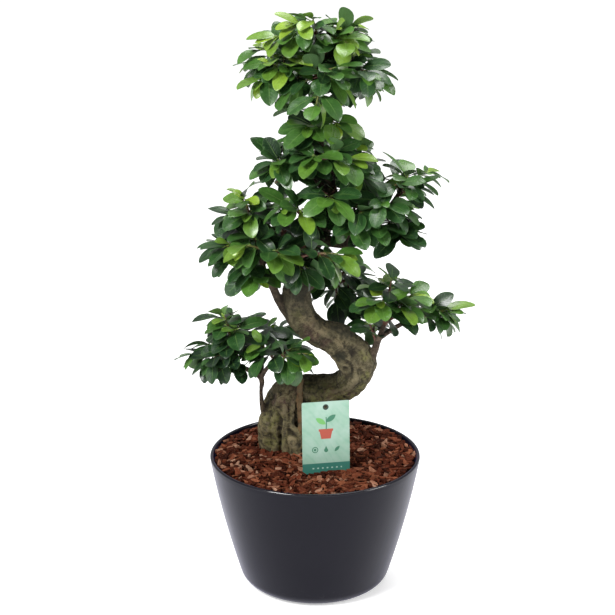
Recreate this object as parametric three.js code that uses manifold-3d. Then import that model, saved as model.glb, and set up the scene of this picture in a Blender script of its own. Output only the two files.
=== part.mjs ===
// Ficus ginseng bonsai: an S-shaped trunk with leafy branches, in a round tapered planter with bark mulch.
// Millimetres, +Z up, origin in the middle of the planter's foot. The front, as it is usually seen, faces -Y.
import * as THREE from "three";
import { mergeVertices } from "three/addons/utils/BufferGeometryUtils.js";
import Module from "manifold-3d";

const wasm = await Module();
wasm.setup();

// Driving dimensions of the planter and what fills it
const PLANTER = {
  height: 173, rimRadius: 135, footRadius: 97.5, corner: 22, bulge: 2.8, wall: 4.5, lip: 1.2, sides: 32,
};
const SOIL_TOP = 150;
const MULCH = { top: 166, chips: 32, chipLength: 26, chipWidth: 16, chipThick: 4.5, sunk: 1.6 };
// Clearance between pieces that rest against each other, and from the planter's outside to what fills it
const SEAT = 0.35;
const FILL_CLEAR = PLANTER.wall + SEAT + 0.5;

// Plant label: a printed card with a pointed stem that stands in the soil
const LABEL = {
  width: 60, height: 95, stemWidth: 13, stemLength: 48, pointLength: 14, thick: 0.9, hole: 2.2, holeDrop: 7,
};
const LABEL_FOOT = [14, -54, 168];
const LABEL_TURN = THREE.MathUtils.degToRad(11);
const LABEL_LEAN = THREE.MathUtils.degToRad(4);

// A limb is a list of points along its centreline, each [x, y, z, radius].
const TRUNK = [
  [-43, 38, 196, 25], [-43, 36, 217, 25], [-36, 32, 238, 23], [-15, 28, 249, 18.5], [13, 22, 253, 17.3],
  [38, 16, 261, 19.5], [51, 12, 280, 22], [47, 8, 303, 23.5], [26, 4, 325, 20.2], [2, 0, 339, 17.6],
  [-15, -4, 356, 18.6], [-22, -6, 378, 18.2], [-22, -6, 401, 16.9], [-17, -4, 426, 15.8], [-7, 0, 449, 14.4],
  [8, 4, 470, 12.6], [17, 6, 492, 11], [17, 6, 517, 9.3], [11, 4, 545, 7.9], [4, 2, 573, 6.7],
  [3, 0, 599, 5.8], [4, 0, 630, 4.8], [5, 0, 658, 3.8], [4, 0, 694, 2.6],
];

const ROOTS = {
  root_left: [[-50, 30, 236, 12], [-57, 28, 205, 16.5], [-57, 31, 176, 15.5], [-56, 32, 158, 13],
    [-58, 34, 112, 7]],
  root_middle: [[-36, 24, 236, 11], [-33, 20, 205, 9.5], [-35, 18, 178, 9], [-36, 20, 158, 8],
    [-34, 20, 118, 5]],
  root_right: [[-28, 26, 236, 11], [-19, 22, 206, 8.5], [-12, 18, 182, 9.5], [-12, 17, 158, 9],
    [-4, 16, 122, 5]],
  root_back: [[-42, 48, 232, 13], [-46, 56, 200, 12], [-45, 58, 176, 11], [-46, 59, 158, 10],
    [-50, 64, 116, 5.5]],
  root_back_right: [[-24, 42, 236, 12], [-20, 50, 205, 9.5], [-18, 52, 178, 9], [-18, 53, 158, 8],
    [-12, 56, 120, 5]],
};

const BRANCHES = {
  low_left: [[-52, 30, 212, 8], [-66, 24, 222, 5.4], [-69, 16, 248, 3.6], [-69, 8, 272, 3.5],
    [-90, 4, 287, 3.2], [-112, 0, 300, 2.6]],
  low_left_in: [[-69, 8, 272, 3.3], [-60, -4, 290, 2.8], [-50, -12, 300, 2.3]],
  low_left_back: [[-69, 8, 272, 3.2], [-68, 26, 286, 2.8], [-76, 42, 298, 2.3]],
  low_right: [[60, 10, 283, 8], [74, 3, 309, 4.6], [80, -6, 330, 3.8], [86, -12, 350, 3]],
  low_right_out: [[80, -6, 330, 3.8], [104, 0, 344, 3.1], [130, 6, 353, 2.6]],
  left: [[-24, -6, 350, 9], [-43, -10, 377, 5.6], [-52, -14, 398, 4.9], [-61, -18, 414, 4.3],
    [-66, -20, 436, 3.6], [-72, -14, 458, 3], [-78, -10, 474, 2.4]],
  left_out: [[-61, -18, 414, 4.2], [-80, -12, 430, 3.2], [-102, -6, 442, 2.6]],
  left_in: [[-65, -20, 435, 3.6], [-45, -34, 444, 3], [-20, -44, 446, 2.4]],
  left_back: [[-18, -2, 406, 7], [-38, 30, 421, 4], [-54, 50, 433, 2.8]],
  right: [[2, 2, 458, 9], [33, -4, 451, 5.6], [52, -8, 456, 4.9], [72, -10, 471, 4.2], [84, -11, 490, 3.4],
    [98, -7, 510, 2.8], [106, -4, 522, 2.4]],
  right_low: [[72, -10, 471, 4.2], [90, -5, 470, 3.2], [106, 0, 465, 2.5]],
  right_back: [[12, 6, 484, 7], [37, 34, 476, 4.2], [58, 54, 473, 2.8]],
  right_in: [[38, -5, 452, 5], [44, -14, 474, 3], [50, -22, 490, 2.3]],
  up_left: [[16, 6, 518, 7], [-4, -4, 534, 4.6], [-28, -10, 547, 3.4], [-42, -11, 553, 2.6]],
  up_right: [[12, 4, 540, 6], [30, -1, 544, 4], [48, -4, 549, 2.6]],
  up_back: [[8, 2, 545, 6], [2, 26, 548, 4], [-2, 48, 551, 2.6]],
  up_front: [[8, 2, 552, 6], [6, -18, 556, 3.8], [4, -34, 559, 2.6]],
  mid_front: [[17, 6, 500, 7], [17, -14, 509, 4], [16, -27, 518, 2.6]],
  mid_left: [[12, 5, 478, 8], [-4, -12, 484, 4], [-14, -24, 490, 2.6]],
  back: [[-18, -4, 392, 8], [4, 28, 394, 5], [22, 54, 390, 3.8], [34, 76, 380, 2.8]],
  crown_left: [[4, 0, 634, 4.4], [-19, 0, 648, 3.4], [-38, 3, 660, 2.6]],
  crown_right: [[4, 0, 638, 4.2], [24, 0, 651, 3.4], [42, 3, 661, 2.6]],
  crown_front: [[4, 0, 646, 4], [2, -18, 656, 3.2], [0, -32, 663, 2.6]],
  crown_back: [[4, 0, 642, 4], [2, 24, 652, 3.2], [-2, 44, 661, 2.6]],
};

// A spray is one clump of foliage: its middle, the half-sizes its shoot tips reach out to, how many shoots
// it has, how far round they start, and the limb that carries it with the share of that limb's length from
// which it leaves.
const SPRAYS = {
  crown_left: { at: [-58, -2, 671], half: [29, 28, 20], shoots: 3, spin: 6, on: ["crown_left", 1] },
  crown_right: { at: [57, -2, 667], half: [27, 28, 20], shoots: 3, spin: 2.4, on: ["crown_right", 1] },
  crown_front: { at: [-2, -46, 648], half: [36, 18, 22], shoots: 3, spin: 0, on: ["crown_front", 1] },
  crown_top: { at: [0, -4, 704], half: [46, 34, 11], shoots: 4, spin: 0.9, on: ["trunk", 1] },
  crown_back: { at: [-8, 54, 658], half: [44, 14, 18], shoots: 2, spin: 0.9, on: ["crown_back", 1] },
  neck_left: { at: [-6, -14, 602], half: [6, 8, 3], shoots: 1, spin: 4.5, on: ["trunk", 0.86] },
  neck_right: { at: [22, -12, 606], half: [6, 8, 3], shoots: 1, spin: 4.8, on: ["trunk", 0.88] },
  up_left: { at: [-48, -10, 556], half: [16, 24, 8], shoots: 2, spin: 4.8, on: ["up_left", 1] },
  up_front: { at: [20, -44, 568], half: [24, 8, 6], shoots: 2, spin: 3.3, on: ["up_front", 1] },
  up_right: { at: [54, -6, 547], half: [14, 22, 7], shoots: 2, spin: 2.4, on: ["up_right", 1] },
  up_back: { at: [-4, 58, 555], half: [12, 8, 8], shoots: 1, spin: 0.6, on: ["up_back", 1] },
  mid_front: { at: [16, -42, 520], half: [8, 6, 4], shoots: 1, spin: 4.9, on: ["mid_front", 1] },
  left_top: { at: [-80, -8, 501], half: [16, 20, 10], shoots: 2, spin: 2.4, on: ["left", 1] },
  left_far: { at: [-109, -4, 450], half: [15, 22, 12], shoots: 2, spin: 5.1, on: ["left_out", 1] },
  left_front: { at: [-68, -44, 456], half: [24, 10, 12], shoots: 2, spin: 3.8, on: ["left_in", 0.4] },
  left_hang: { at: [-80, -22, 418], half: [8, 8, 5], shoots: 1, spin: 5.4, on: ["left_out", 0.5] },
  left_in: { at: [-26, -36, 506], half: [10, 8, 5], shoots: 2, spin: 3.2, on: ["mid_left", 1] },
  left_right: { at: [18, -50, 447], half: [24, 8, 8], shoots: 2, spin: 5.4, on: ["left_in", 1] },
  left_back: { at: [-56, 62, 441], half: [10, 8, 6], shoots: 1, spin: 4.8, on: ["left_back", 1] },
  right_top: { at: [124, -2, 537], half: [16, 12, 6], shoots: 2, spin: 0.6, on: ["right", 1] },
  right_mid: { at: [86, -24, 508], half: [12, 16, 8], shoots: 2, spin: 4.2, on: ["right", 0.72] },
  right_in: { at: [42, -30, 482], half: [6, 8, 4], shoots: 1, spin: 4.9, on: ["right_in", 1] },
  right_low: { at: [104, 0, 469], half: [14, 16, 7], shoots: 2, spin: 2.1, on: ["right_low", 1] },
  right_back: { at: [68, 66, 468], half: [10, 8, 6], shoots: 1, spin: 0.9, on: ["right_back", 1] },
  back: { at: [41, 90, 360], half: [24, 14, 18], shoots: 3, spin: 0, on: ["back", 1] },
  low_right: { at: [88, -20, 388], half: [24, 20, 18], shoots: 3, spin: 1.8, on: ["low_right", 1] },
  low_right_out: { at: [150, 8, 365], half: [18, 18, 9], shoots: 3, spin: 3, on: ["low_right_out", 1] },
  low_left_out: { at: [-124, 0, 313], half: [19, 22, 11], shoots: 3, spin: 6, on: ["low_left", 1] },
  low_left: { at: [-102, 8, 346], half: [19, 18, 9], shoots: 2, spin: 2.4, on: ["low_left", 0.85] },
  low_left_in: { at: [-44, -20, 314], half: [22, 12, 7], shoots: 3, spin: 0.6, on: ["low_left_in", 1] },
  low_left_back: { at: [-60, 54, 324], half: [9, 8, 5], shoots: 1, spin: 4.5, on: ["low_left_back", 1] },
};

const TWIG = {
  rootRadius: 2.3, forkRadius: 1.7, tipRadius: 1, arch: 0.14, sides: 3, firstFork: 0.15, lastFork: 0.5,
};
const LEAF = {
  length: 41, width: 23, petiole: 0.15, thick: 1.4, perShoot: 7, bearing: 30, clearance: 0.25,
};
// How far a leaf spreads from its twig at the twig's foot and at its tip, in radians, and how much of its
// rise and fall its own weight leaves it
const SPREAD = { foot: 1.25, tip: 0.7, scatter: 0.3, rise: 0.42, droop: 0.05 };
// Which way a leaf's face looks: outward from the tree, a little to the front, each leaf its own way, and up
const FACE = { outward: 0.3, front: 0.1, scatter: 0.5, up: 0.75 };
const GOLDEN_ANGLE = 2.399963;
// Ways to turn and lift a blade clear of its neighbours, in radians, tried in order
const CLEARING_TURNS = [0, 0.35, -0.35, 0.7, -0.7, 1.05, -1.05];
const CLEARING_LIFTS = [0, 0.28, -0.28];

const COLOURS = {
  planter: { color: 0x2f2d33, roughness: 0.28 },
  soil: { color: 0x2c2019, roughness: 0.95 },
  mulch: { color: 0x6b3a28, roughness: 0.85 },
  bark: { color: 0x6a5f49, roughness: 0.8 },
  leaf: { color: 0x2f6b22, roughness: 0.4 },
  card: { color: 0xbdeed6, roughness: 0.5 },
};

// A repeatable number from 0 to 1 for each triple of whole numbers
function chance(a, b, c) {
  const wave = Math.sin(a * 12.9898 + b * 78.233 + c * 37.719) * 43758.5453;
  return wave - Math.floor(wave);
}

function solidOf(geometry) {
  const bare = new THREE.BufferGeometry().setAttribute("position", geometry.getAttribute("position"));
  bare.setIndex(geometry.index);
  const merged = mergeVertices(bare, 1e-4);
  const mesh = new wasm.Mesh({
    numProp: 3,
    vertProperties: merged.attributes.position.array,
    triVerts: new Uint32Array(merged.index.array),
  });
  return new wasm.Manifold(mesh);
}

function geometryOf(solid) {
  const mesh = solid.getMesh();
  const geometry = new THREE.BufferGeometry();
  geometry.setAttribute("position", new THREE.BufferAttribute(mesh.vertProperties, 3));
  geometry.setIndex(new THREE.BufferAttribute(mesh.triVerts, 1));
  geometry.computeVertexNormals();
  return geometry;
}

function largestPiece(solid) {
  const pieces = solid.decompose();
  return pieces.reduce((best, piece) => (piece.volume() > best.volume() ? piece : best));
}

function piece(name, solid, look) {
  const mesh = new THREE.Mesh(geometryOf(solid), new THREE.MeshStandardMaterial({ metalness: 0, ...look }));
  mesh.name = name;
  return mesh;
}

function joined(solids) {
  return solids.reduce((sum, next) => sum.add(next));
}

// A limb: a cylinder bent along a smooth curve, with its radius read along the way
function limb(points, sides, rings, grow = 0, flute = () => 1) {
  const curve = smoothCurve(points);
  const radii = points.map((p) => p[3]);
  const radiusAt = (t) => {
    const place = Math.min(t * (radii.length - 1), radii.length - 1 - 1e-9);
    const step = Math.floor(place);
    return THREE.MathUtils.lerp(radii[step], radii[step + 1], place - step) + grow;
  };
  const tube = new THREE.CylinderGeometry(1, 1, 1, sides, rings);
  const spots = tube.getAttribute("position");
  const up = new THREE.Vector3(0, 1, 0);
  const frames = [];
  for (let ring = 0; ring <= rings; ring++) {
    const t = ring / rings;
    const along = curve.getTangent(t);
    const before = ring ? frames[ring - 1].across : up.clone().cross(along);
    const across = before.clone().addScaledVector(along, -before.dot(along)).normalize();
    const over = along.clone().cross(across);
    frames.push({ centre: curve.getPoint(t), along, across, over, radius: radiusAt(t), t });
  }
  for (let i = 0; i < spots.count; i++) {
    const frame = frames[Math.round((0.5 - spots.getY(i)) * rings)];
    const x = spots.getX(i);
    const z = spots.getZ(i);
    const reach = frame.radius * flute(Math.atan2(z, x), frame.t);
    const spot = frame.centre.clone()
      .addScaledVector(frame.across, x * reach)
      .addScaledVector(frame.over, z * reach);
    spots.setXYZ(i, spot.x, spot.y, spot.z);
  }
  return solidOf(tube);
}

// The grooves that run along old ginseng wood, deepest at the ground
function trunkFlute(angle, t) {
  const depth = 0.09 - 0.07 * t;
  return 1 + depth * Math.sin(3 * angle + 9 * t) + 0.4 * depth * Math.sin(5 * angle - 14 * t);
}

function wood(grow = 0) {
  const trunk = limb(TRUNK, 10, 30, grow, trunkFlute);
  const roots = Object.values(ROOTS).map((root) => limb(root, 6, 3, grow));
  const branches = Object.values(BRANCHES).map((branch) => {
    const stout = branch[0][3] > 6;
    return limb(branch, stout ? 5 : 4, branch.length, grow);
  });
  return joined([trunk, ...roots, ...branches]);
}

// The planter's outside radius at a height: a rounded foot, then a wall that leans out and swells a little
function planterRadius(z) {
  const { height, rimRadius, footRadius, corner, bulge } = PLANTER;
  const lean = Math.PI * 0.4;
  const cornerTop = corner * (1 - Math.cos(lean));
  const cornerOut = footRadius - corner + corner * Math.sin(lean);
  if (z < cornerTop) return footRadius - corner + corner * Math.sin(Math.acos(1 - z / corner));
  const t = (z - cornerTop) / (height - cornerTop);
  return THREE.MathUtils.lerp(cornerOut, rimRadius, t) + bulge * 4 * t * (1 - t);
}

function lathe(profile) {
  const geometry = new THREE.LatheGeometry(profile.map(([r, z]) => new THREE.Vector2(r, z)), PLANTER.sides);
  return solidOf(geometry.rotateX(Math.PI / 2));
}

function planter() {
  const { height, corner, footRadius, wall, lip } = PLANTER;
  const outside = [0, 4, 14, 55, 115, height - 2].map((z) => [planterRadius(z), z]);
  const inside = [height - 2, 90, 18].map((z) => [planterRadius(z) - wall, z]);
  const rim = [[planterRadius(height) - lip, height], [planterRadius(height) - wall + lip, height]];
  const floor = [[footRadius - corner, wall], [0, wall]];
  return lathe([[0, 0], [footRadius - corner, 0], ...outside.slice(1), ...rim, ...inside, ...floor]);
}

function soil(holes) {
  const side = [18, SOIL_TOP].map((z) => [planterRadius(z) - FILL_CLEAR, z]);
  const low = PLANTER.wall + SEAT;
  const fill = lathe([[0, low], [PLANTER.footRadius - PLANTER.corner, low], ...side, [0, SOIL_TOP]]);
  return holes.reduce((rest, hole) => rest.subtract(hole), fill);
}

// One flake of bark: a flat three-cornered prism with uneven corners
function barkChip(i) {
  const corners = [0, 1, 2].map((corner) => {
    const angle = corner * 2.1 + 0.7 * chance(i, corner, 1);
    const reach = 0.5 + 0.22 * chance(i, corner, 2);
    return [Math.cos(angle) * MULCH.chipLength * reach, Math.sin(angle) * MULCH.chipWidth * reach];
  });
  const outline = new THREE.Shape(corners.map(([x, y]) => new THREE.Vector2(x, y)));
  const flake = new THREE.ExtrudeGeometry(outline, { depth: MULCH.chipThick, bevelEnabled: false });
  const spread = PLANTER.rimRadius - PLANTER.wall - MULCH.chipLength * 0.72;
  const distance = spread * Math.sqrt((i + 0.5) / MULCH.chips);
  const angle = i * GOLDEN_ANGLE;
  const tilt = 0.16 + 0.3 * chance(i, 3, 3);
  flake.rotateX(tilt * Math.cos(i)).rotateY(tilt * Math.sin(i)).rotateZ(6.28 * chance(i, 4, 4));
  flake.translate(distance * Math.cos(angle), distance * Math.sin(angle), MULCH.top - MULCH.sunk);
  return solidOf(flake);
}

function mulch(holes) {
  const low = SOIL_TOP + SEAT;
  const [topRadius, lowRadius] = [MULCH.top, low].map((z) => planterRadius(z) - FILL_CLEAR);
  const bed = new THREE.CylinderGeometry(topRadius, lowRadius, MULCH.top - low, PLANTER.sides);
  bed.rotateX(Math.PI / 2).translate(0, 0, (MULCH.top + low) / 2);
  const chips = Array.from({ length: MULCH.chips }, (_, i) => barkChip(i));
  const whole = joined([solidOf(bed), ...chips]);
  return largestPiece(holes.reduce((rest, hole) => rest.subtract(hole), whole)).simplify(0.05);
}

function label(grow = 0) {
  const half = LABEL.width / 2 + grow;
  const stem = LABEL.stemWidth / 2 + grow;
  const outline = new THREE.Shape();
  outline.moveTo(0, -LABEL.stemLength - grow);
  outline.lineTo(stem, -LABEL.stemLength + LABEL.pointLength);
  outline.lineTo(stem, -grow);
  outline.lineTo(half, -grow);
  outline.lineTo(half, LABEL.height + grow);
  outline.lineTo(-half, LABEL.height + grow);
  outline.lineTo(-half, -grow);
  outline.lineTo(-stem, -grow);
  outline.lineTo(-stem, -LABEL.stemLength + LABEL.pointLength);
  if (!grow) {
    const hole = new THREE.Path().absarc(0, LABEL.height - LABEL.holeDrop, LABEL.hole, 0, Math.PI * 2, true);
    outline.holes.push(hole);
  }
  const thick = LABEL.thick + 2 * grow;
  const card = new THREE.ExtrudeGeometry(outline, { depth: thick, bevelEnabled: false, curveSegments: 8 });
  card.translate(0, 0, -thick / 2).rotateX(Math.PI / 2 - LABEL_LEAN).rotateZ(LABEL_TURN);
  return solidOf(card.translate(...LABEL_FOOT));
}

function smoothCurve(points) {
  const spots = points.map(([x, y, z]) => new THREE.Vector3(x, y, z));
  return new THREE.CatmullRomCurve3(spots, false, "catmullrom", 0.5);
}

function arched(root, tip) {
  const bend = root.clone().lerp(tip, 0.5);
  bend.z += TWIG.arch * root.distanceTo(tip);
  return new THREE.QuadraticBezierCurve3(root, bend, tip);
}

// A spray's first shoot leaves the limb itself, and the others fork off it one after another. Their tips
// stand round an ellipsoid, each a golden angle on from the last.
function layOut(spray, sprayIndex) {
  const middle = new THREE.Vector3(...spray.at);
  const [carrier, share] = spray.on;
  const root = smoothCurve({ trunk: TRUNK, ...BRANCHES }[carrier]).getPoint(share);
  const outward = new THREE.Vector3(middle.x, middle.y, 0).divideScalar(150);
  const shoots = [];
  for (let k = 0; k < spray.shoots; k++) {
    const height = 1 - (2 * k + 1) / spray.shoots;
    const ring = Math.sqrt(1 - height * height);
    const angle = spray.spin + k * GOLDEN_ANGLE;
    const way = new THREE.Vector3(ring * Math.cos(angle), ring * Math.sin(angle), height);
    const tip = way.clone().multiply(new THREE.Vector3(...spray.half)).add(middle);
    const forkShare = THREE.MathUtils.lerp(TWIG.firstFork, TWIG.lastFork, k / spray.shoots);
    const fork = k ? shoots[0].curve.getPoint(forkShare) : root;
    shoots.push({
      seed: sprayIndex * 8 + k,
      curve: arched(fork, tip),
      out: way.add(outward),
      rootRadius: k ? TWIG.forkRadius : TWIG.rootRadius,
      firstLeaf: Math.max(0.25, 1 - LEAF.bearing / fork.distanceTo(tip)),
    });
  }
  return shoots;
}

// The twig's own directions at a place along it: along, and two across it
function twigFrame(curve, t) {
  const chord = curve.v2.clone().sub(curve.v0).normalize();
  const level = new THREE.Vector3(0, 0, 1).cross(chord);
  if (level.length() < 0.2) level.set(1, 0, 0);
  const along = curve.getTangent(t);
  const side = level.addScaledVector(along, -level.dot(along)).normalize();
  return { centre: curve.getPoint(t), along, side, over: along.clone().cross(side) };
}

// Where a leaf stands: its foot on the twig, the way it points, the way its face looks, and its size
function leafPose(shoot, i, turn, lift) {
  const share = (i + 0.5) / LEAF.perShoot;
  const place = THREE.MathUtils.lerp(shoot.firstLeaf, 1, share);
  const { centre: foot, along, side, over } = twigFrame(shoot.curve, place);
  const angle = shoot.seed + i * GOLDEN_ANGLE + 0.5 * (chance(shoot.seed, i, 1) - 0.5) + turn;
  const scatter = SPREAD.scatter * (chance(shoot.seed, i, 2) - 0.5);
  const spread = THREE.MathUtils.lerp(SPREAD.foot, SPREAD.tip, share) + scatter + lift;
  const away = side.clone().multiplyScalar(Math.cos(angle)).addScaledVector(over, Math.sin(angle));
  const point = along.clone().multiplyScalar(Math.cos(spread)).addScaledVector(away, Math.sin(spread));
  point.z = SPREAD.rise * point.z - SPREAD.droop;
  point.normalize();
  const face = new THREE.Vector3(
    FACE.outward * shoot.out.x + FACE.scatter * (chance(shoot.seed, i, 4) - 0.5),
    FACE.outward * shoot.out.y + FACE.scatter * (chance(shoot.seed, i, 5) - 0.5) - FACE.front,
    FACE.up,
  );
  face.addScaledVector(point, -face.dot(point)).normalize();
  return {
    foot, point, face, angle,
    length: LEAF.length * (0.8 + 0.35 * chance(shoot.seed, i, 6)),
    width: LEAF.width * (0.85 + 0.25 * chance(shoot.seed, i, 7)),
    curl: 0.35 + 0.5 * chance(shoot.seed, i, 8),
    fold: 0.1 + 0.16 * chance(shoot.seed, i, 9),
  };
}

// Half of a blade's outline from its petiole on, short of the tip, each point a share of the length and a
// share of the half-width
const BLADE_OUTLINE = [[LEAF.petiole, 0.08], [0.43, 0.94], [0.76, 0.86]];

// The corners of a blade, a thin lens-shaped body arched along its rib and a little folded: its rim from the
// petiole up one side, over the tip and down the other, then the middle of its upper and lower faces
function bladeCorners({ foot, point, face, length, width, curl, fold }, grow) {
  const across = face.clone().cross(point);
  const spotAt = (t, side, rise) => {
    const normal = face.clone()
      .multiplyScalar(Math.cos(curl * t))
      .addScaledVector(point, Math.sin(curl * t));
    return foot.clone()
      .addScaledVector(point, (length * Math.sin(curl * t)) / curl)
      .addScaledVector(face, (-length * (1 - Math.cos(curl * t))) / curl)
      .addScaledVector(across, side)
      .addScaledVector(normal, rise);
  };
  const half = (share) => (share * width) / 2 + grow;
  const left = BLADE_OUTLINE.map(([t, share]) => spotAt(t, -half(share), fold * half(share)));
  const right = BLADE_OUTLINE.map(([t, share]) => spotAt(t, half(share), fold * half(share))).reverse();
  const thick = LEAF.thick / 2 + grow;
  const rim = [...left, spotAt(1, 0, 0), ...right];
  return { across, rim, top: spotAt(0.5, 0, thick), bottom: spotAt(0.5, 0, -thick) };
}

function closed(spots, index) {
  const geometry = new THREE.BufferGeometry().setFromPoints(spots);
  geometry.setIndex(index);
  return solidOf(geometry);
}

// A blade by itself, from its foot on the twig, used to try whether there is room for it
function blade(pose, grow) {
  const { rim, top, bottom } = bladeCorners(pose, grow);
  const round = [pose.foot, ...rim];
  const index = round.flatMap((_, i) => {
    const next = (i + 1) % round.length;
    return [round.length, i, next, round.length + 1, next, i];
  });
  return closed([...round, top, bottom], index);
}

// A twig with its leaves as one closed skin: each leaf grows out of one side of its own stretch of the twig
function leafyTwig(shoot, poses) {
  const { sides } = TWIG;
  const steps = Array.from({ length: LEAF.perShoot + 1 }, (_, i) => i / LEAF.perShoot);
  const shares = [0, ...steps.map((step) => THREE.MathUtils.lerp(shoot.firstLeaf, 1, step))];
  const sideAngle = (2 * Math.PI) / sides;
  const spots = shares.flatMap((t) => {
    const { centre, side, over } = twigFrame(shoot.curve, t);
    const radius = THREE.MathUtils.lerp(shoot.rootRadius, TWIG.tipRadius, t);
    return Array.from({ length: sides }, (_, k) => {
      return centre.clone()
        .addScaledVector(side, radius * Math.cos(k * sideAngle))
        .addScaledVector(over, radius * Math.sin(k * sideAngle));
    });
  });
  const last = spots.length - sides;
  const index = [0, 2, 1, last, last + 1, last + 2];
  for (let stretch = 0; stretch + 1 < shares.length; stretch++) {
    const pose = poses[stretch - 1];
    const leafAngle = pose ? THREE.MathUtils.euclideanModulo(pose.angle, 2 * Math.PI) : -1;
    const leafSide = Math.floor(leafAngle / sideAngle);
    for (let k = 0; k < sides; k++) {
      const low = stretch * sides;
      const next = (k + 1) % sides;
      const corners = [low + k, low + next, low + sides + next, low + sides + k];
      if (k === leafSide) growLeaf(pose, corners, spots, index);
      else index.push(corners[0], corners[1], corners[2], corners[0], corners[2], corners[3]);
    }
  }
  return closed(spots, index);
}

// Joins a blade's rim and faces to the four corners of the side it grows from, turned whichever way fits best
function growLeaf(pose, corners, spots, index) {
  const { across, rim, top, bottom } = bladeCorners(pose, 0);
  const middle = corners.reduce((sum, corner) => sum.add(spots[corner]), new THREE.Vector3()).divideScalar(4);
  const wanted = [[-1, -1], [1, -1], [1, 1], [-1, 1]].map(([a, f]) =>
    across.clone().multiplyScalar(a).addScaledVector(pose.face, f));
  const reach = corners.map((corner) => spots[corner].clone().sub(middle));
  const fit = (shift) => wanted.reduce((sum, way, i) => sum + way.dot(reach[(i + shift) % 4]), 0);
  const shift = [0, 1, 2, 3].reduce((best, next) => (fit(next) > fit(best) ? next : best));
  const [leftLow, rightLow, rightHigh, leftHigh] = [0, 1, 2, 3].map((i) => corners[(i + shift) % 4]);
  const first = spots.length;
  const last = first + rim.length - 1;
  const topAt = last + 1;
  const bottomAt = last + 2;
  spots.push(...rim, top, bottom);
  index.push(leftLow, rightLow, bottomAt, rightLow, rightHigh, last);
  index.push(rightHigh, leftHigh, topAt, leftHigh, leftLow, first);
  index.push(last, rightHigh, topAt, leftHigh, first, topAt);
  index.push(first, leftLow, bottomAt, rightLow, last, bottomAt);
  for (let i = first; i < last; i++) index.push(topAt, i, i + 1, bottomAt, i + 1, i);
}

function boxesMeet(a, b) {
  return [0, 1, 2].every((axis) => a.min[axis] <= b.max[axis] && b.min[axis] <= a.max[axis]);
}

function clearOf(solid, others) {
  const box = solid.boundingBox();
  return others.every((other) => !boxesMeet(box, other.box) || solid.intersect(other.solid).isEmpty());
}

function withBox(solid, owner) {
  return { solid, box: solid.boundingBox(), owner };
}

// Bare twigs are laid first; then each blade takes the first pose in which it clears its neighbours; then
// every spray is built whole and cut back to the bark it grows from.
function foliage(bark) {
  const sprays = Object.entries(SPRAYS).map(([name, spray], index) => {
    return { name: `spray_${name}`, shoots: layOut(spray, index) };
  });
  const placed = [withBox(bark, "bark")];
  for (const spray of sprays) {
    placed.push(withBox(joined(spray.shoots.map((shoot) => leafyTwig(shoot, []))), spray.name));
  }
  for (const spray of sprays) {
    const blades = [];
    const others = placed.filter((other) => other.owner !== spray.name);
    for (const shoot of spray.shoots) {
      shoot.poses = Array.from({ length: LEAF.perShoot }, (_, i) => {
        const ways = CLEARING_LIFTS.flatMap((lift) => {
          return CLEARING_TURNS.map((turn) => leafPose(shoot, i, turn, lift));
        });
        const pose = ways.find((way) => {
          const trial = blade(way, LEAF.clearance);
          return clearOf(trial, others) && clearOf(trial, blades);
        });
        if (pose) blades.push(withBox(blade(pose, 0), spray.name));
        return pose;
      });
    }
    placed.push(...blades);
    const shoots = spray.shoots.map((shoot) => leafyTwig(shoot, shoot.poses));
    spray.solid = largestPiece(joined(shoots).subtract(bark).simplify(0.02));
  }
  return sprays;
}

const bark = wood().simplify(0.2);
const grownBark = wood(SEAT);
const card = label();
const grownCard = label(SEAT);

const bonsai = new THREE.Group();
bonsai.add(piece("planter", planter(), COLOURS.planter));
bonsai.add(piece("soil", soil([grownBark, grownCard]), COLOURS.soil));
bonsai.add(piece("bark_mulch", mulch([grownBark, grownCard]), COLOURS.mulch));
bonsai.add(piece("trunk", bark, COLOURS.bark));
bonsai.add(piece("plant_label", card, COLOURS.card));
for (const spray of foliage(grownBark)) bonsai.add(piece(spray.name, spray.solid, COLOURS.leaf));

export default bonsai;
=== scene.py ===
import itertools
import math

import bmesh
import bpy
import numpy as np
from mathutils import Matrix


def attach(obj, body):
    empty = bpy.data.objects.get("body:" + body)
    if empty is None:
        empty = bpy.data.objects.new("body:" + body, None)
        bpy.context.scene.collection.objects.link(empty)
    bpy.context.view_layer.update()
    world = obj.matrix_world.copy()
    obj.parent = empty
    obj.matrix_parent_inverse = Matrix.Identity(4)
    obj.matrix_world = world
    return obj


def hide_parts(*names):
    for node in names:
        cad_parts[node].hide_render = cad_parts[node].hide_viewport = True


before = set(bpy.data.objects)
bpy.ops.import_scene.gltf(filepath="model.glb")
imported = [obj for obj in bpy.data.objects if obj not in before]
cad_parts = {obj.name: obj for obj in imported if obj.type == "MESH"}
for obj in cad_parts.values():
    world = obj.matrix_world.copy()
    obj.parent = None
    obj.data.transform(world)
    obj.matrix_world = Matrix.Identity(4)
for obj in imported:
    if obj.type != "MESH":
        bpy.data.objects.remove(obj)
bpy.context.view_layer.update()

MM = 0.001
GOLDEN_ANGLE = 2.399963
UP = np.array([0.0, 0.0, 1.0])

# Planter, soil and mulch
PLANTER_HEIGHT = 173.0
RIM_RADIUS = 135.0
FOOT_RADIUS = 97.5
FOOT_CORNER = 22.0
WALL_BULGE = 2.8
WALL = 4.5
SOIL_TOP = 150.0
MULCH_TOP = 165.0
PLANTER_TURNS = 160
BED_TURNS = 120
BED_GAP = 0.9

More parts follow.
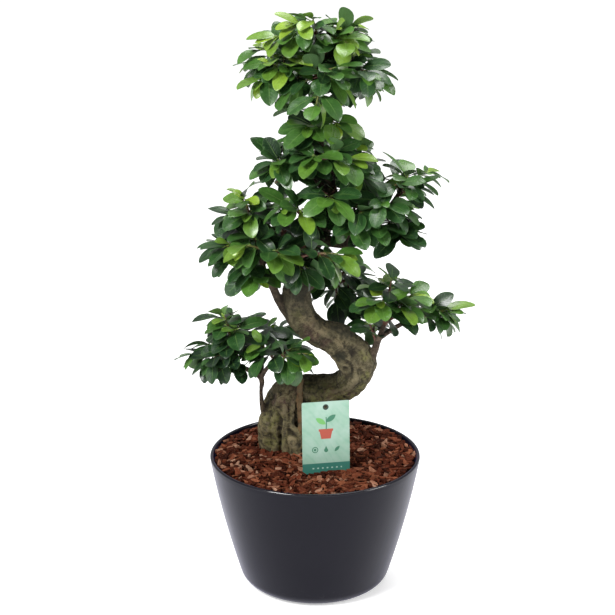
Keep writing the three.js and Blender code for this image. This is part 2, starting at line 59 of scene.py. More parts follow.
# Label card: its size, the place of its lower edge, and how it stands
CARD_WIDTH = 60.0
CARD_HEIGHT = 93.0
CARD_THICK = 0.9
CARD_EDGE = 0.12
CARD_CORNER = 1.6
CARD_STEM_WIDTH = 13.0
CARD_STEM_LENGTH = 48.0
CARD_POINT_LENGTH = 14.0
CARD_HOLE = 2.2
CARD_HOLE_DROP = 7.0
CARD_FOOT = (14.0, -54.0, 168.0)
CARD_TURN = math.radians(11)
CARD_LEAN = math.radians(4)

# A limb is a list of points along its centreline, each (x, y, z, radius)
TRUNK = [
    (-43, 38, 196, 25), (-43, 36, 217, 25), (-36, 32, 238, 23), (-15, 28, 249, 18.5), (13, 22, 253, 17.3),
    (38, 16, 261, 19.5), (51, 12, 280, 22), (47, 8, 303, 23.5), (26, 4, 325, 20.2), (2, 0, 339, 17.6),
    (-15, -4, 356, 18.6), (-22, -6, 378, 18.2), (-22, -6, 401, 16.9), (-17, -4, 426, 15.8),
    (-7, 0, 449, 14.4), (8, 4, 470, 12.6), (17, 6, 492, 11), (17, 6, 517, 9.3), (11, 4, 545, 7.9),
    (4, 2, 573, 6.7), (3, 0, 599, 5.8), (4, 0, 630, 4.8), (5, 0, 658, 3.8), (4, 0, 694, 2.6),
]
ROOTS = [
    [(-50, 30, 236, 12), (-57, 28, 205, 16.5), (-57, 31, 176, 15.5), (-56, 32, 158, 13), (-58, 34, 112, 7)],
    [(-36, 24, 236, 11), (-33, 20, 205, 9.5), (-35, 18, 178, 9), (-36, 20, 158, 8), (-34, 20, 118, 5)],
    [(-28, 26, 236, 11), (-19, 22, 206, 8.5), (-12, 18, 182, 9.5), (-12, 17, 158, 9), (-4, 16, 122, 5)],
    [(-42, 48, 232, 13), (-46, 56, 200, 12), (-45, 58, 176, 11), (-46, 59, 158, 10), (-50, 64, 116, 5.5)],
    [(-24, 42, 236, 12), (-20, 50, 205, 9.5), (-18, 52, 178, 9), (-18, 53, 158, 8), (-12, 56, 120, 5)],
]
BRANCHES = {
    "low_left": [(-52, 30, 212, 8), (-66, 24, 222, 5.4), (-69, 16, 248, 3.6), (-69, 8, 272, 3.5),
                 (-90, 4, 287, 3.2), (-112, 0, 300, 2.6)],
    "low_left_in": [(-69, 8, 272, 3.3), (-60, -4, 290, 2.8), (-50, -12, 300, 2.3)],
    "low_left_back": [(-69, 8, 272, 3.2), (-68, 26, 286, 2.8), (-76, 42, 298, 2.3)],
    "low_right": [(60, 10, 283, 8), (74, 3, 309, 4.6), (80, -6, 330, 3.8), (86, -12, 350, 3)],
    "low_right_out": [(80, -6, 330, 3.8), (104, 0, 344, 3.1), (130, 6, 353, 2.6)],
    "left": [(-24, -6, 350, 9), (-43, -10, 377, 5.6), (-52, -14, 398, 4.9), (-61, -18, 414, 4.3),
             (-66, -20, 436, 3.6), (-72, -14, 458, 3), (-78, -10, 474, 2.4)],
    "left_out": [(-61, -18, 414, 4.2), (-80, -12, 430, 3.2), (-102, -6, 442, 2.6)],
    "left_in": [(-65, -20, 435, 3.6), (-45, -34, 444, 3), (-20, -44, 446, 2.4)],
    "left_back": [(-18, -2, 406, 7), (-38, 30, 421, 4), (-54, 50, 433, 2.8)],
    "right": [(2, 2, 458, 9), (33, -4, 451, 5.6), (52, -8, 456, 4.9), (72, -10, 471, 4.2),
              (84, -11, 490, 3.4), (98, -7, 510, 2.8), (106, -4, 522, 2.4)],
    "right_low": [(72, -10, 471, 4.2), (90, -5, 470, 3.2), (106, 0, 465, 2.5)],
    "right_back": [(12, 6, 484, 7), (37, 34, 476, 4.2), (58, 54, 473, 2.8)],
    "right_in": [(38, -5, 452, 5), (44, -14, 474, 3), (50, -22, 490, 2.3)],
    "up_left": [(16, 6, 518, 7), (-4, -4, 534, 4.6), (-28, -10, 547, 3.4), (-42, -11, 553, 2.6)],
    "up_right": [(12, 4, 540, 6), (30, -1, 544, 4), (48, -4, 549, 2.6)],
    "up_back": [(8, 2, 545, 6), (2, 26, 548, 4), (-2, 48, 551, 2.6)],
    "up_front": [(8, 2, 552, 6), (6, -18, 556, 3.8), (4, -34, 559, 2.6)],
    "mid_front": [(17, 6, 500, 7), (17, -14, 509, 4), (16, -27, 518, 2.6)],
    "mid_left": [(12, 5, 478, 8), (-4, -12, 484, 4), (-14, -24, 490, 2.6)],
    "back": [(-18, -4, 392, 8), (4, 28, 394, 5), (22, 54, 390, 3.8), (34, 76, 380, 2.8)],
    "crown_left": [(4, 0, 634, 4.4), (-19, 0, 648, 3.4), (-38, 3, 660, 2.6)],
    "crown_right": [(4, 0, 638, 4.2), (24, 0, 651, 3.4), (42, 3, 661, 2.6)],
    "crown_front": [(4, 0, 646, 4), (2, -18, 656, 3.2), (0, -32, 663, 2.6)],
    "crown_back": [(4, 0, 642, 4), (2, 24, 652, 3.2), (-2, 44, 661, 2.6)],
}
# Aerial roots that cling to the old wood, too slender for the frame's faces. The first is young and rusty.
CLINGING_ROOTS = [
    [(-16, 13, 270, 1.4), (-19, 7, 262, 2.4), (-20, 6, 246, 2.8), (-20, 8, 226, 2.6), (-19, 9, 205, 2.6),
     (-22, 10, 184, 2.6)],
    [(-50, 13, 236, 2.4), (-42, 9, 224, 3.4), (-32, 7, 209, 4), (-22, 8, 194, 4.4), (-17, 9, 176, 4.6)],
    [(-40, 16, 252, 2), (-39, 9, 236, 3.2), (-37, 7, 217, 3.8), (-38, 8, 196, 4.4), (-37, 10, 168, 5)],
    [(-30, 15, 258, 2), (-29, 9, 241, 3), (-29, 7, 224, 3.2), (-30, 9, 204, 3.4), (-29, 11, 170, 4)],
    [(-34, 9, 198, 2), (-30, 6, 188, 6), (-26, 6, 178, 7), (-24, 7, 164, 7)],
    [(-48, 18, 250, 2), (-50, 14, 228, 4), (-51, 13, 206, 5), (-50, 15, 186, 5), (-51, 18, 164, 5.6)],
    [(-60, 36, 240, 2.4), (-66, 40, 216, 4), (-66, 44, 190, 4.6), (-68, 46, 164, 5)],
    [(-40, 60, 238, 2.4), (-36, 64, 214, 4), (-34, 66, 190, 4.2), (-36, 68, 164, 4.6)],
    [(-52, 56, 240, 2.4), (-57, 62, 214, 4), (-56, 66, 190, 4.4), (-60, 68, 164, 5)],
    [(-14, 44, 244, 2.2), (-10, 40, 222, 3.4), (-9, 38, 196, 4), (-8, 36, 164, 4.4)],
]
RUST_REACH = 3.6
# Sinews along the trunk: how far round each starts, how far it winds, from where to where, how thick
SINEWS = [
    (0.4, 2.6, 0.08, 0.62, 5), (2.1, 3.4, 0.12, 0.7, 4), (3.7, 2.2, 0.05, 0.55, 5),
    (5.2, -2.4, 0.1, 0.66, 4.2), (1.2, -3.0, 0.2, 0.74, 3.4),
]
# Swellings (positive) and folds (negative) of the bark: (x, y, z, reach, height)
SWELLINGS = [
    (-66, 26, 242, 15, -6), (-58, 12, 200, 16, 2), (9, 17, 236, 21, 12), (40, -2, 341, 13, 5),
    (60, -6, 322, 11, 3), (71, 4, 291, 12, 3), (52, -10, 272, 14, 2.5), (-32, -22, 372, 12, 2),
    (6, -14, 338, 12, 2), (62, 22, 300, 14, 3), (24, 24, 330, 12, 3), (-34, 16, 384, 12, 2.5),
    (10, 44, 252, 14, 3), (29, -9, 308, 7, -5), (47, -14, 313, 6, -4), (22, 2, 268, 9, -3),
    (-4, 12, 262, 8, -3), (-8, -20, 352, 7, -2.5), (30, 28, 296, 8, -4),
]
# Old branch scars: (x, y, z, radius) of a ring of bark with a dent in it
SCARS = [
    (39, -10, 291, 6), (-40, 6, 398, 5), (66, 24, 312, 6), (-60, 10, 214, 5.5), (12, 42, 250, 6),
    (2, 16, 340, 5.5),
]
# Where the bark is stained: (x, y, z, reach) of purplish, mossy, pale and dry, dark, and olive patches. The
# dark patches are partly painted shade, on the trunk's top under the foliage, in a fold and under the middle
# of the bend; some olive ones are painted light on the shaded underside of the bend.
PURPLE_STAINS = [
    (-44, 10, 236, 17), (-4, -22, 340, 20), (13, -20, 328, 14), (19, -4, 252, 16), (42, -2, 252, 14),
    (-30, 8, 262, 14), (-20, 20, 392, 22),
]
MOSS_STAINS = [
    (4, -4, 264, 24), (26, -6, 268, 18), (40, 36, 280, 30), (-50, 66, 200, 30), (-20, -20, 366, 14),
]
PALE_STAINS = [
    (8, -18, 343, 14), (31, -18, 326, 12), (-29, -2, 186, 12), (-40, 14, 250, 14), (-10, -20, 358, 12),
    (-30, 50, 240, 20), (52, -8, 298, 10),
]
# Dark patches, partly painted shade: the trunk's top under the foliage, a fold, and an underside.
DARK_STAINS_AND_SHADE = [
    (40, -8, 342, 16), (27, -12, 349, 11), (54, 6, 344, 12), (-19, -24, 398, 20), (-14, -20, 424, 22),
    (32, -12, 309, 9), (44, -16, 284, 8), (-10, 10, 240, 8), (-34, 8, 200, 8), (-24, 6, 214, 8),
]
# Olive patches; the first two brighten the bend's shaded underside as painted light.
OLIVE_STAINS_AND_LIGHT = [
    (24, 2, 246, 17), (0, 8, 246, 16), (42, 4, 254, 14), (60, -4, 305, 13), (63, -2, 284, 12),
    (54, -2, 266, 12), (-58, 4, 214, 20), (-52, 8, 188, 18), (-66, 40, 200, 22),
]

# A spray is one clump of foliage: its middle, the half-sizes its shoot tips reach out to, how many shoots it
# has, how far round they start, the limb that carries it with the share of its length, and how young it is,
# which also paints light and shade on its leaves: lower for clumps in shade, higher for lit ones.
SPRAYS = {
    "crown_left": ((-58, -2, 671), (29, 28, 20), 3, 6, "crown_left", 1, 0.75),
    "crown_right": ((57, -2, 667), (27, 28, 20), 3, 2.4, "crown_right", 1, 0.45),
    "crown_front": ((-2, -46, 648), (36, 18, 22), 3, 0, "crown_front", 1, 0.8),
    "crown_top": ((0, -4, 704), (46, 34, 11), 4, 0.9, "trunk", 1, 1.05),
    "crown_back": ((-8, 54, 658), (44, 14, 18), 2, 0.9, "crown_back", 1, 0.4),
    "neck_left": ((-6, -14, 602), (6, 8, 3), 1, 4.5, "trunk", 0.86, 0.6),
    "neck_right": ((22, -12, 606), (6, 8, 3), 1, 4.8, "trunk", 0.88, 0.7),
    "up_left": ((-48, -10, 556), (16, 24, 8), 2, 4.8, "up_left", 1, 0.42),
    "up_front": ((20, -44, 568), (24, 8, 6), 2, 3.3, "up_front", 1, 0.75),
    "up_right": ((54, -6, 547), (14, 22, 7), 2, 2.4, "up_right", 1, 0.42),
    "up_back": ((-4, 58, 555), (12, 8, 8), 1, 0.6, "up_back", 1, 0.25),
    "mid_front": ((16, -42, 520), (8, 6, 4), 1, 4.9, "mid_front", 1, 0.5),
    "left_top": ((-80, -8, 501), (16, 20, 10), 2, 2.4, "left", 1, 0.62),
    "left_far": ((-109, -4, 450), (15, 22, 12), 2, 5.1, "left_out", 1, 0.58),
    "left_front": ((-68, -44, 456), (24, 10, 12), 2, 3.8, "left_in", 0.4, 0.75),
    "left_hang": ((-80, -22, 418), (8, 8, 5), 1, 5.4, "left_out", 0.5, 0.6),
    "left_in": ((-26, -36, 506), (10, 8, 5), 2, 3.2, "mid_left", 1, 0.62),
    "left_right": ((18, -50, 447), (24, 8, 8), 2, 5.4, "left_in", 1, 0.7),
    "left_back": ((-56, 62, 441), (10, 8, 6), 1, 4.8, "left_back", 1, 0.2),
    "right_top": ((124, -2, 537), (16, 12, 6), 2, 0.6, "right", 1, 0.85),
    "right_mid": ((86, -24, 508), (12, 16, 8), 2, 4.2, "right", 0.72, 0.35),
    "right_in": ((42, -30, 482), (6, 8, 4), 1, 4.9, "right_in", 1, 0.35),
    "right_low": ((104, 0, 469), (14, 16, 7), 2, 2.1, "right_low", 1, 0.2),
    "right_back": ((68, 66, 468), (10, 8, 6), 1, 0.9, "right_back", 1, 0.2),
    "back": ((41, 90, 360), (24, 14, 18), 3, 0, "back", 1, 0.1),
    "low_right": ((88, -20, 388), (24, 20, 18), 3, 1.8, "low_right", 1, 1),
    "low_right_out": ((150, 8, 365), (18, 18, 9), 3, 3, "low_right_out", 1, 0.75),
    "low_left_out": ((-124, 0, 313), (19, 22, 11), 3, 6, "low_left", 1, 0.05),
    "low_left": ((-102, 8, 346), (19, 18, 9), 2, 2.4, "low_left", 0.85, 0.25),
    "low_left_in": ((-44, -20, 314), (22, 12, 7), 3, 0.6, "low_left_in", 1, 0.42),
    "low_left_back": ((-60, 54, 324), (9, 8, 5), 1, 4.5, "low_left_back", 1, 0.1),
}
# Thinner clumps between the others, told in the same way after the name of the spray that each belongs to
FILLERS = [
    ("crown_top", (-8, -26, 726), (16, 10, 5), 2, 1.2, "trunk", 1, 1),
    ("crown_top", (34, -8, 709), (12, 12, 5), 2, 0.8, "trunk", 0.98, 0.9),
    ("crown_top", (36, 0, 716), (8, 8, 4), 1, 0.8, "trunk", 0.99, 0.9),
    ("crown_left", (-44, -20, 675), (12, 10, 6), 2, 3.6, "crown_left", 0.8, 0.9),
    ("crown_left", (-54, 0, 691), (8, 8, 4), 1, 2.8, "crown_left", 0.9, 0.9),
    ("crown_right", (70, 0, 650), (8, 8, 4), 1, 2.8, "crown_right", 0.9, 0.5),
    ("crown_back", (-34, 40, 686), (14, 12, 8), 2, 4.8, "crown_back", 0.9, 0.5),
    ("crown_back", (48, 40, 681), (14, 12, 8), 2, 2.4, "crown_back", 0.8, 0.5),
    ("neck_right", (18, -8, 628), (8, 8, 4), 1, 3.6, "trunk", 0.9, 0.4),
    ("neck_left", (-24, 22, 615), (8, 8, 5), 1, 1.8, "trunk", 0.86, 0.3),
    ("neck_left", (-30, 0, 580), (8, 8, 4), 1, 0, "trunk", 0.84, 0.4),
    ("up_right", (44, 2, 570), (14, 10, 6), 2, 4.4, "up_right", 0.7, 0.5),
    ("up_back", (16, 44, 541), (14, 10, 8), 2, 0.9, "up_back", 0.6, 0.2),
    ("up_back", (-62, 42, 517), (12, 10, 8), 1, 0, "up_back", 0.5, 0.2),
    ("left_in", (-14, -30, 427), (12, 6, 4), 2, 1.6, "left_in", 0.9, 0.15),
    ("left_top", (-86, -10, 511), (10, 8, 5), 1, 4.8, "left", 1, 0.6),
    ("left_far", (-114, -4, 440), (10, 10, 6), 1, 6, "left_out", 0.9, 0.3),
    ("left_back", (-24, 56, 480), (14, 10, 10), 2, 3.2, "left_back", 0.7, 0.2),
    ("left_back", (-80, 40, 457), (10, 12, 8), 1, 5.6, "left_back", 1, 0.2),
    ("right_top", (110, 6, 519), (10, 8, 5), 1, 1.2, "right", 0.97, 0.4),
    ("right_mid", (106, -10, 467), (10, 8, 5), 1, 2, "right_low", 1, 0.2),
    ("right_back", (30, 62, 500), (14, 10, 10), 2, 1.4, "right_back", 0.7, 0.2),
    ("right_back", (92, 42, 486), (10, 12, 8), 1, 0, "right_back", 1, 0.2),
    ("back", (40, 62, 354), (16, 8, 12), 2, 3.6, "back", 0.8, 0.1),
    ("back", (42, 88, 386), (14, 10, 10), 2, 2.8, "back", 0.7, 0.15),
    ("low_right", (68, 22, 344), (9, 10, 10), 2, 4.4, "low_right", 0.5, 0.15),
    ("low_right", (98, -16, 366), (12, 8, 5), 1, 5.8, "low_right", 1, 0.3),
    ("low_right", (88, -24, 410), (6, 6, 6), 1, 0.4, "low_right", 1, 0.15),
    ("low_right", (118, -14, 390), (8, 6, 4), 1, 4.8, "low_right", 0.9, 0.7),
    ("low_right_out", (158, 2, 355), (8, 8, 5), 1, 0.8, "low_right_out", 1, 0.3),
    ("low_left_out", (-156, -2, 304), (8, 10, 6), 1, 0.8, "low_left", 1, 0.2),
    ("low_left_out", (-110, -10, 296), (8, 8, 4), 1, 0.8, "low_left", 0.85, 0.2),
    ("low_left", (-124, 2, 351), (12, 10, 5), 1, 0, "low_left", 0.9, 0.7),
    ("low_left_in", (-60, -10, 324), (10, 8, 6), 1, 4, "low_left_in", 1, 0.5),
    ("low_left_in", (-17, -28, 316), (8, 6, 4), 1, 0.4, "low_left_in", 1, 0.6),
    ("low_left_back", (-104, 44, 335), (12, 10, 8), 2, 4.4, "low_left_back", 0.9, 0.2),
    ("low_left_back", (-34, 58, 322), (10, 8, 8), 1, 2.8, "low_left_back", 1, 0.2),
]
# All limbs but the low ones also carry short shoots of their own. They belong to the spray of the limb's
# name, but for these limbs.
SHOOTS_OF = {
    "left": "left_top", "left_out": "left_far", "left_in": "left_right", "right": "right_mid",
    "mid_left": "left_in",
}

# Openings between the clumps that pruning keeps clear, as seen from the front: (x, height at y = 0,
# half-width, half-height)
CLEARINGS = np.array([
    (-19, 490, 10, 11), (-42, 427, 26, 8), (65, 440, 17, 9), (15, 370, 11, 15), (16, 299, 17, 19),
    (-81, 371, 30, 11), (36, 519, 7, 6), (-58, 514, 13, 8), (100, 506, 11, 7), (-100, 254, 32, 12),
    (107, 319, 28, 11), (84, 566, 14, 10), (-20, 521, 8, 5), (-8, 503, 8, 6), (87, 546, 10, 6),
    (86, 528, 9, 5), (50, 362, 9, 8), (-63, 527, 9, 6), (98, 441, 16, 6), (154, 478, 12, 10),
    (-150, 345, 16, 14), (-140, 390, 14, 20), (168, 400, 16, 14), (-46, 600, 16, 14), (56, 598, 14, 16),
])
# How much higher a spot seems from the front for each millimetre that it lies farther back
SEEN_RISE = 0.315

# Wood: steps along a limb, sides round it, the remesh, and rounds of averaging that find its hollows
LIMB_STEP = 2.5
THIN_LIMB_STEP = 2.0
TRUNK_SIDES = 40
ROOT_SIDES = 20
BRANCH_SIDES = 14
THIN_SIDES = 12
VOXEL = 1.35
SOFTEN_ROUNDS = 2
NEAR_ROUNDS = 6
FAR_ROUNDS = 44
LIMB_SHIFT = 137.0
GRAIN_STRETCH = 0.22
STOUT_RADIUS = 25.0
SINEW_DEPTH = 0.88

# Twigs and leaves, as the frame's sprays have them
TWIG_ROOT = 2.1
TWIG_FORK = 1.6
TWIG_TIP = 0.9
TWIG_ARCH = 0.14
FIRST_FORK = 0.15
LAST_FORK = 0.5
LEAF_LENGTH = 41.0
LEAF_WIDTH = 23.0
PETIOLE = 0.15
LEAVES_PER_SHOOT = 7
LEAF_BEARING = 30.0
LEAST_BARE = 0.25
SPREAD_FOOT = 1.25
SPREAD_TIP = 0.7
CLEARING_TURNS = (0, 0.35, -0.35, 0.7, -0.7, 1.05, -1.05)
CLEARING_LIFTS = (0, 0.28, -0.28)
TURNS = np.tile(CLEARING_TURNS, len(CLEARING_LIFTS))
LIFTS = np.repeat(CLEARING_LIFTS, len(CLEARING_TURNS))
SPRAY_SEEDS = 8
LIMB_SEEDS = 16
# Corners of the rim of the frame's leaves: (t, side)
RIM_CORNERS = ((1, 0), (0.76, -0.86), (0.76, 0.86), (0.43, -0.94), (0.43, 0.94))
RIM_MATCH = 0.3

# The scene's own leaves: their size against the frame's, the room that they need, and where they start
FILLER_SIZE = 0.92
LOWER_SIZE = 0.95
LOWER_STEP = 11
LOWER_BARE = 10
LOWER_SEED = 20
TIP_SEEDS = (30, 31)
TIP_SPREAD = 0.5
BUD_SEED = 34
BUD_LENGTH = 11.0
BUD_WIDTH = 2.6
CLEARANCE = 5.0
LEAST_ROOM = 3.0
TIP_CLEARANCE = 4.0
TIP_LEAST_ROOM = 1.5
NEAR_LEAVES = 70
NEAR_WOOD = 80
WOOD_ROOM = 1.0
INNER_FIRST = 0.45
INNER_STEP = 15
INNER_REACH = 20
INNER_BARE = 0.3
# How young the inner shoots' leaves are; kept low, which also gives them painted shade inside the foliage.
INNER_YOUTH_AND_LIGHT = 0.3
TRIAL_SPOTS = ((0.3, 0), (0.55, -0.8), (0.55, 0), (0.55, 0.8), (0.8, -0.6), (0.8, 0.6), (1, 0))
# Rows along a leaf: the petiole, then the blade to near its tip. Points round its section: top, then under.
LEAF_ROWS = np.array([0.0, 0.14, 0.22, 0.34, 0.5, 0.66, 0.8, 0.91, 0.975])
SECTION_SIDE = np.array([-1, -0.45, 0, 0.45, 1, 0])
SECTION_TOP = np.array([0.5, 1, 1, 1, 0.5, 0])
PETIOLE_HALF = 0.85
PETIOLE_HALF_THICK = 0.62
BLADE_HALF_THICK = 0.38
SLIMNESS = 0.93
TWIG_RINGS = 8
TWIG_SIDES = 6

# Bark chips, and the step from one chip's share of the bed's area to the next's, one less than the plastic
# number
CHIP_COUNT = 2900
SPREAD_STEP = 0.324718
CHIP_CORNERS = np.array([
    (-1, -0.55), (-0.25, -1), (0.45, -0.9), (1, -0.3), (0.9, 0.5), (0.2, 1), (-0.5, 0.85), (-0.95, 0.3),
])

# Studio: the camera's place in metres and its tilt, its lens and sensor in millimetres, the floor, and the
# lamps, each by place, aim and size in metres and by power in watts
EYE = (-0.0096, -2.0, 0.998)
LOOK_DOWN = math.radians(17.48)
LENS = 98.3
SENSOR = 36.0
FLOOR_HALF = 30.0
SKY = 0.31
LAMPS = {
    "key": ((-1.3, -1.4, 1.9), (0, 0, 0.42), 0.9, 71),
    "fill": ((1.9, -0.7, 1.1), (0, 0, 0.35), 0.8, 24),
    "top": ((0.3, 0.5, 2.2), (0, 0, 0.45), 1.2, 34),
}


def chance(a, b, c):
    """A repeatable number from 0 to 1 for three whole ones: the fraction of a large multiple of a sine."""
    wave = np.sin(a * 12.9898 + b * 78.233 + c * 37.719) * 43758.5453
    return wave - np.floor(wave)


def unit(vectors):
    return vectors / np.linalg.norm(vectors, axis=-1, keepdims=True)


def dot(a, b):
    return (a * b).sum(-1, keepdims=True)


def mix(a, b, share):
    return a + (b - a) * share


def smooth_step(low, high, value):
    """0 below low, 1 above high, and 3s^2 - 2s^3 between, with s the share of the way."""
    s = np.clip((value - low) / (high - low), 0, 1)
    return s * s * (3 - 2 * s)


def lumps(points, size, seed):
    """Smooth random relief from -1 to 1: a point blends the chances of its lattice cell's eight corners."""
    place = np.asarray(points) / size
    cell = np.floor(place)
    share = place - cell
    share = share * share * (3 - 2 * share)
    total = np.zeros(len(place))
    for corner in itertools.product((0, 1), repeat=3):
        weight = np.where(np.array(corner) == 1, share, 1 - share).prod(axis=1)
        x, y, z = (cell + corner).T
        total += weight * chance(x + seed, y, z)
    return 2 * total - 1


# Meshes


def in_scene(name, data):
    """An object of that name and data, in the scene."""
    made = bpy.data.objects.new(name, data)
    bpy.context.scene.collection.objects.link(made)
    return made


def numbers(items, field, kind=float, width=3):
    """One field of a mesh's points or edges, a row for each."""
    values = np.zeros(len(items) * width, kind)
    items.foreach_get(field, values)
    return values.reshape(-1, width)


def baked(made):
    """An object's final mesh as points, normals, edges and faces. The object goes."""
    skin = bpy.data.meshes.new_from_object(made.evaluated_get(bpy.context.evaluated_depsgraph_get()))
    points = numbers(skin.vertices, "co")
    normals = numbers(skin.vertex_normals, "vector")
    edges = numbers(skin.edges, "vertices", np.int32, 2)
    faces = [list(face.vertices) for face in skin.polygons]
    bpy.data.objects.remove(made)
    bpy.data.meshes.remove(skin)
    return points, normals, edges, faces


def mesh_from(name, points, faces):
    """A mesh in metres from points in millimetres and faces, each a list of corner numbers."""
    mesh = bpy.data.meshes.new(name)
    mesh.from_pydata((points * MM).tolist(), [], faces)
    return mesh


def piece(name, look, points, faces, layers=(), sharp_points=None, smooth=True):
    """A mesh object of one look. Each layer is a name with one triple a point, which the materials read.
    Edges between two sharp points stay crisp."""
    mesh = mesh_from(name, points, faces)
    for layer, values in dict(layers).items():
        attribute = mesh.attributes.new(layer, "FLOAT_VECTOR", "POINT")
        attribute.data.foreach_set("vector", np.asarray(values, np.float32).ravel())
    mesh.materials.append(look.material)
    mesh.polygons.foreach_set("use_smooth", np.full(len(mesh.polygons), smooth))
    if sharp_points is not None:
        sharp = sharp_points[numbers(mesh.edges, "vertices", np.int32, 2)].all(axis=1)
        mesh.attributes.new("sharp_edge", "BOOLEAN", "EDGE").data.foreach_set("value", sharp)
    mesh.update()
    return in_scene(name, mesh)


def dress(made, slot, *nodes):
    """Ties a piece to the frame: it rides on the root body, slot is not used, and the frame's nodes it
    stands for are hidden.
    """
    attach(made, "root")
    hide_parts(*nodes)


def tube_faces(rings, sides):
    """Faces of a closed tube: points counted ring by ring, then the poles of the first and the last ring."""
    ring, side = np.meshgrid(np.arange(rings - 1), np.arange(sides), indexing="ij")
    after = (side + 1) % sides
    low = ring * sides
    walls = np.stack([low + side, low + after, low + sides + after, low + sides + side], -1)
    side = side[0]
    after = after[0]
    pole = np.full(sides, rings * sides)
    last = (rings - 1) * sides
    foot = np.stack([after, side, pole], -1)
    head = np.stack([last + side, last + after, pole + 1], -1)
    return walls.reshape(-1, 4).tolist() + foot.tolist() + head.tolist()


def repeated(faces, count, step):
    """The faces of one shape for each of count copies, with the corner numbers moved on by step."""
    return [[corner + step * copy for corner in face] for copy in range(count) for face in faces]


def joined(parts):
    """Several (points, faces) as one, with the corner numbers moved on."""
    faces = []
    shift = 0
    for part_points, part_faces in parts:
        faces += [[corner + shift for corner in face] for face in part_faces]
        shift += len(part_points)
    return np.vstack([part_points for part_points, _ in parts]), faces


def arc(x, y, radius, first, last, count):
    """Points round (x, y), from one angle to another."""
    angles = np.linspace(first, last, count)
    return [(x + radius * math.cos(angle), y + radius * math.sin(angle)) for angle in angles]


def revolve(profile, turns):
    """A closed surface of revolution: a profile of (radius, height) from axis to axis, carried round Z."""
    profile = np.asarray(profile, float)
    angle = np.arange(turns) * 2 * math.pi / turns
    radius = profile[1:-1, :1]
    height = np.repeat(profile[1:-1, 1:], turns, axis=1)
    rings = np.stack([radius * np.cos(angle), radius * np.sin(angle), height], -1)
    poles = [(0, 0, profile[0, 1]), (0, 0, profile[-1, 1])]
    return np.vstack([rings.reshape(-1, 3), poles]), tube_faces(len(rings), turns)


# Wood


def smooth_curve(points, t):
    """Places on a smooth curve: between two points a cubic that leaves each along half the step from its
    neighbour before to its neighbour after."""
    points = np.asarray(points, float)[:, :3]
    ends = np.vstack([2 * points[0] - points[1], points, 2 * points[-1] - points[-2]])
    place = np.clip(np.asarray(t) * (len(points) - 1), 0, len(points) - 1 - 1e-9)
    step = place.astype(int)
    s = (place - step)[..., None]
    before, start, end, after = (ends[step + k] for k in range(4))
    leave = 0.5 * (end - before)
    arrive = 0.5 * (after - start)
    square = 3 * (end - start) - 2 * leave - arrive
    cube = 2 * (start - end) + leave + arrive
    return start + leave * s + square * s**2 + cube * s**3


def limb_length(points):
    return np.linalg.norm(np.diff(points[:, :3], axis=0), axis=1).sum()


def limb_line(points, step):
    """A limb's centreline as rings: centres, directions along and across them carried on without a twist,
    radii, and the way run so far."""
    points = np.asarray(points, float)
    t = np.linspace(0, 1, max(int(limb_length(points) / step), 6))
    centre = smooth_curve(points, t)
    along = unit(np.gradient(centre, axis=0))
    across = np.zeros_like(centre)
    start = np.cross([0.0, 1.0, 0.0], along[0])
    for ring, way in enumerate(along):
        start = unit(start - way * (start @ way))
        across[ring] = start
    radius = np.interp(t * (len(points) - 1), np.arange(len(points)), points[:, 3])
    run = np.append(0, np.cumsum(np.linalg.norm(np.diff(centre, axis=0), axis=1)))
    return {"centre": centre, "along": along, "across": across, "over": np.cross(along, across),
            "radius": radius, "run": run, "t": t}


def tube(line, sides, flute=lambda angle, t: 1.0):
    """A closed tube round a limb's line: each ring is centre + radius (across cos a + over sin a)."""
    angle = np.arange(sides) * 2 * math.pi / sides
    reach = line["radius"][:, None] * flute(angle, line["t"][:, None])
    out = np.cos(angle)[:, None] * line["across"][:, None] + np.sin(angle)[:, None] * line["over"][:, None]
    rings = line["centre"][:, None] + reach[..., None] * out
    return np.vstack([rings.reshape(-1, 3), line["centre"][[0, -1]]]), tube_faces(len(rings), sides)


def trunk_flute(angle, t):
    """The grooves along old wood, deepest at the ground: 1 + d sin(3a + 9t) + 0.4 d sin(5a - 14t)."""
    depth = 0.09 - 0.07 * t
    return 1 + depth * np.sin(3 * angle + 9 * t) + 0.4 * depth * np.sin(5 * angle - 14 * t)


def sinew(trunk, start, wind, first, last, thick):
    """A ridge that winds along the trunk just under its skin: round the centreline at start + wind t,
    tapering to its ends as sin(pi t)^0.5."""
    rows = np.flatnonzero((trunk["t"] >= first) & (trunk["t"] <= last))
    t = np.linspace(0, 1, len(rows))
    angle = (start + wind * t)[:, None]
    out = trunk["across"][rows] * np.cos(angle) + trunk["over"][rows] * np.sin(angle)
    over = np.cross(trunk["along"][rows], out)
    centre = trunk["centre"][rows] + out * trunk["radius"][rows][:, None] * SINEW_DEPTH
    radius = thick * np.sin(math.pi * np.clip(t, 0.02, 0.98)) ** 0.5 * mix(1, 0.7, t)
    return {"centre": centre, "across": out, "over": over, "radius": radius, "t": t}


def fused(points, faces):
    """Tubes grown into one softened skin by a voxel remesh: its points, normals, edges and faces."""
    made = in_scene("tubes", mesh_from("tubes", points, faces))
    remesh = made.modifiers.new("fuse", "REMESH")
    remesh.mode = "VOXEL"
    remesh.voxel_size = VOXEL * MM
    soften = made.modifiers.new("soften", "SMOOTH")
    soften.factor = 0.5
    soften.iterations = SOFTEN_ROUNDS
    spots, normals, edges, faces = baked(made)
    return spots / MM, normals, edges, faces


def averaged(values, edges, rounds):
    """Values at a mesh's points, each mixed half and half with its neighbours' mean, some rounds over."""
    here, there = np.vstack([edges, edges[:, ::-1]]).T
    neighbours = np.bincount(here)[:, None]
    for _ in range(rounds):
        total = np.stack([np.bincount(here, column[there]) for column in values.T], -1)
        values = 0.5 * values + 0.5 * total / neighbours
    return values


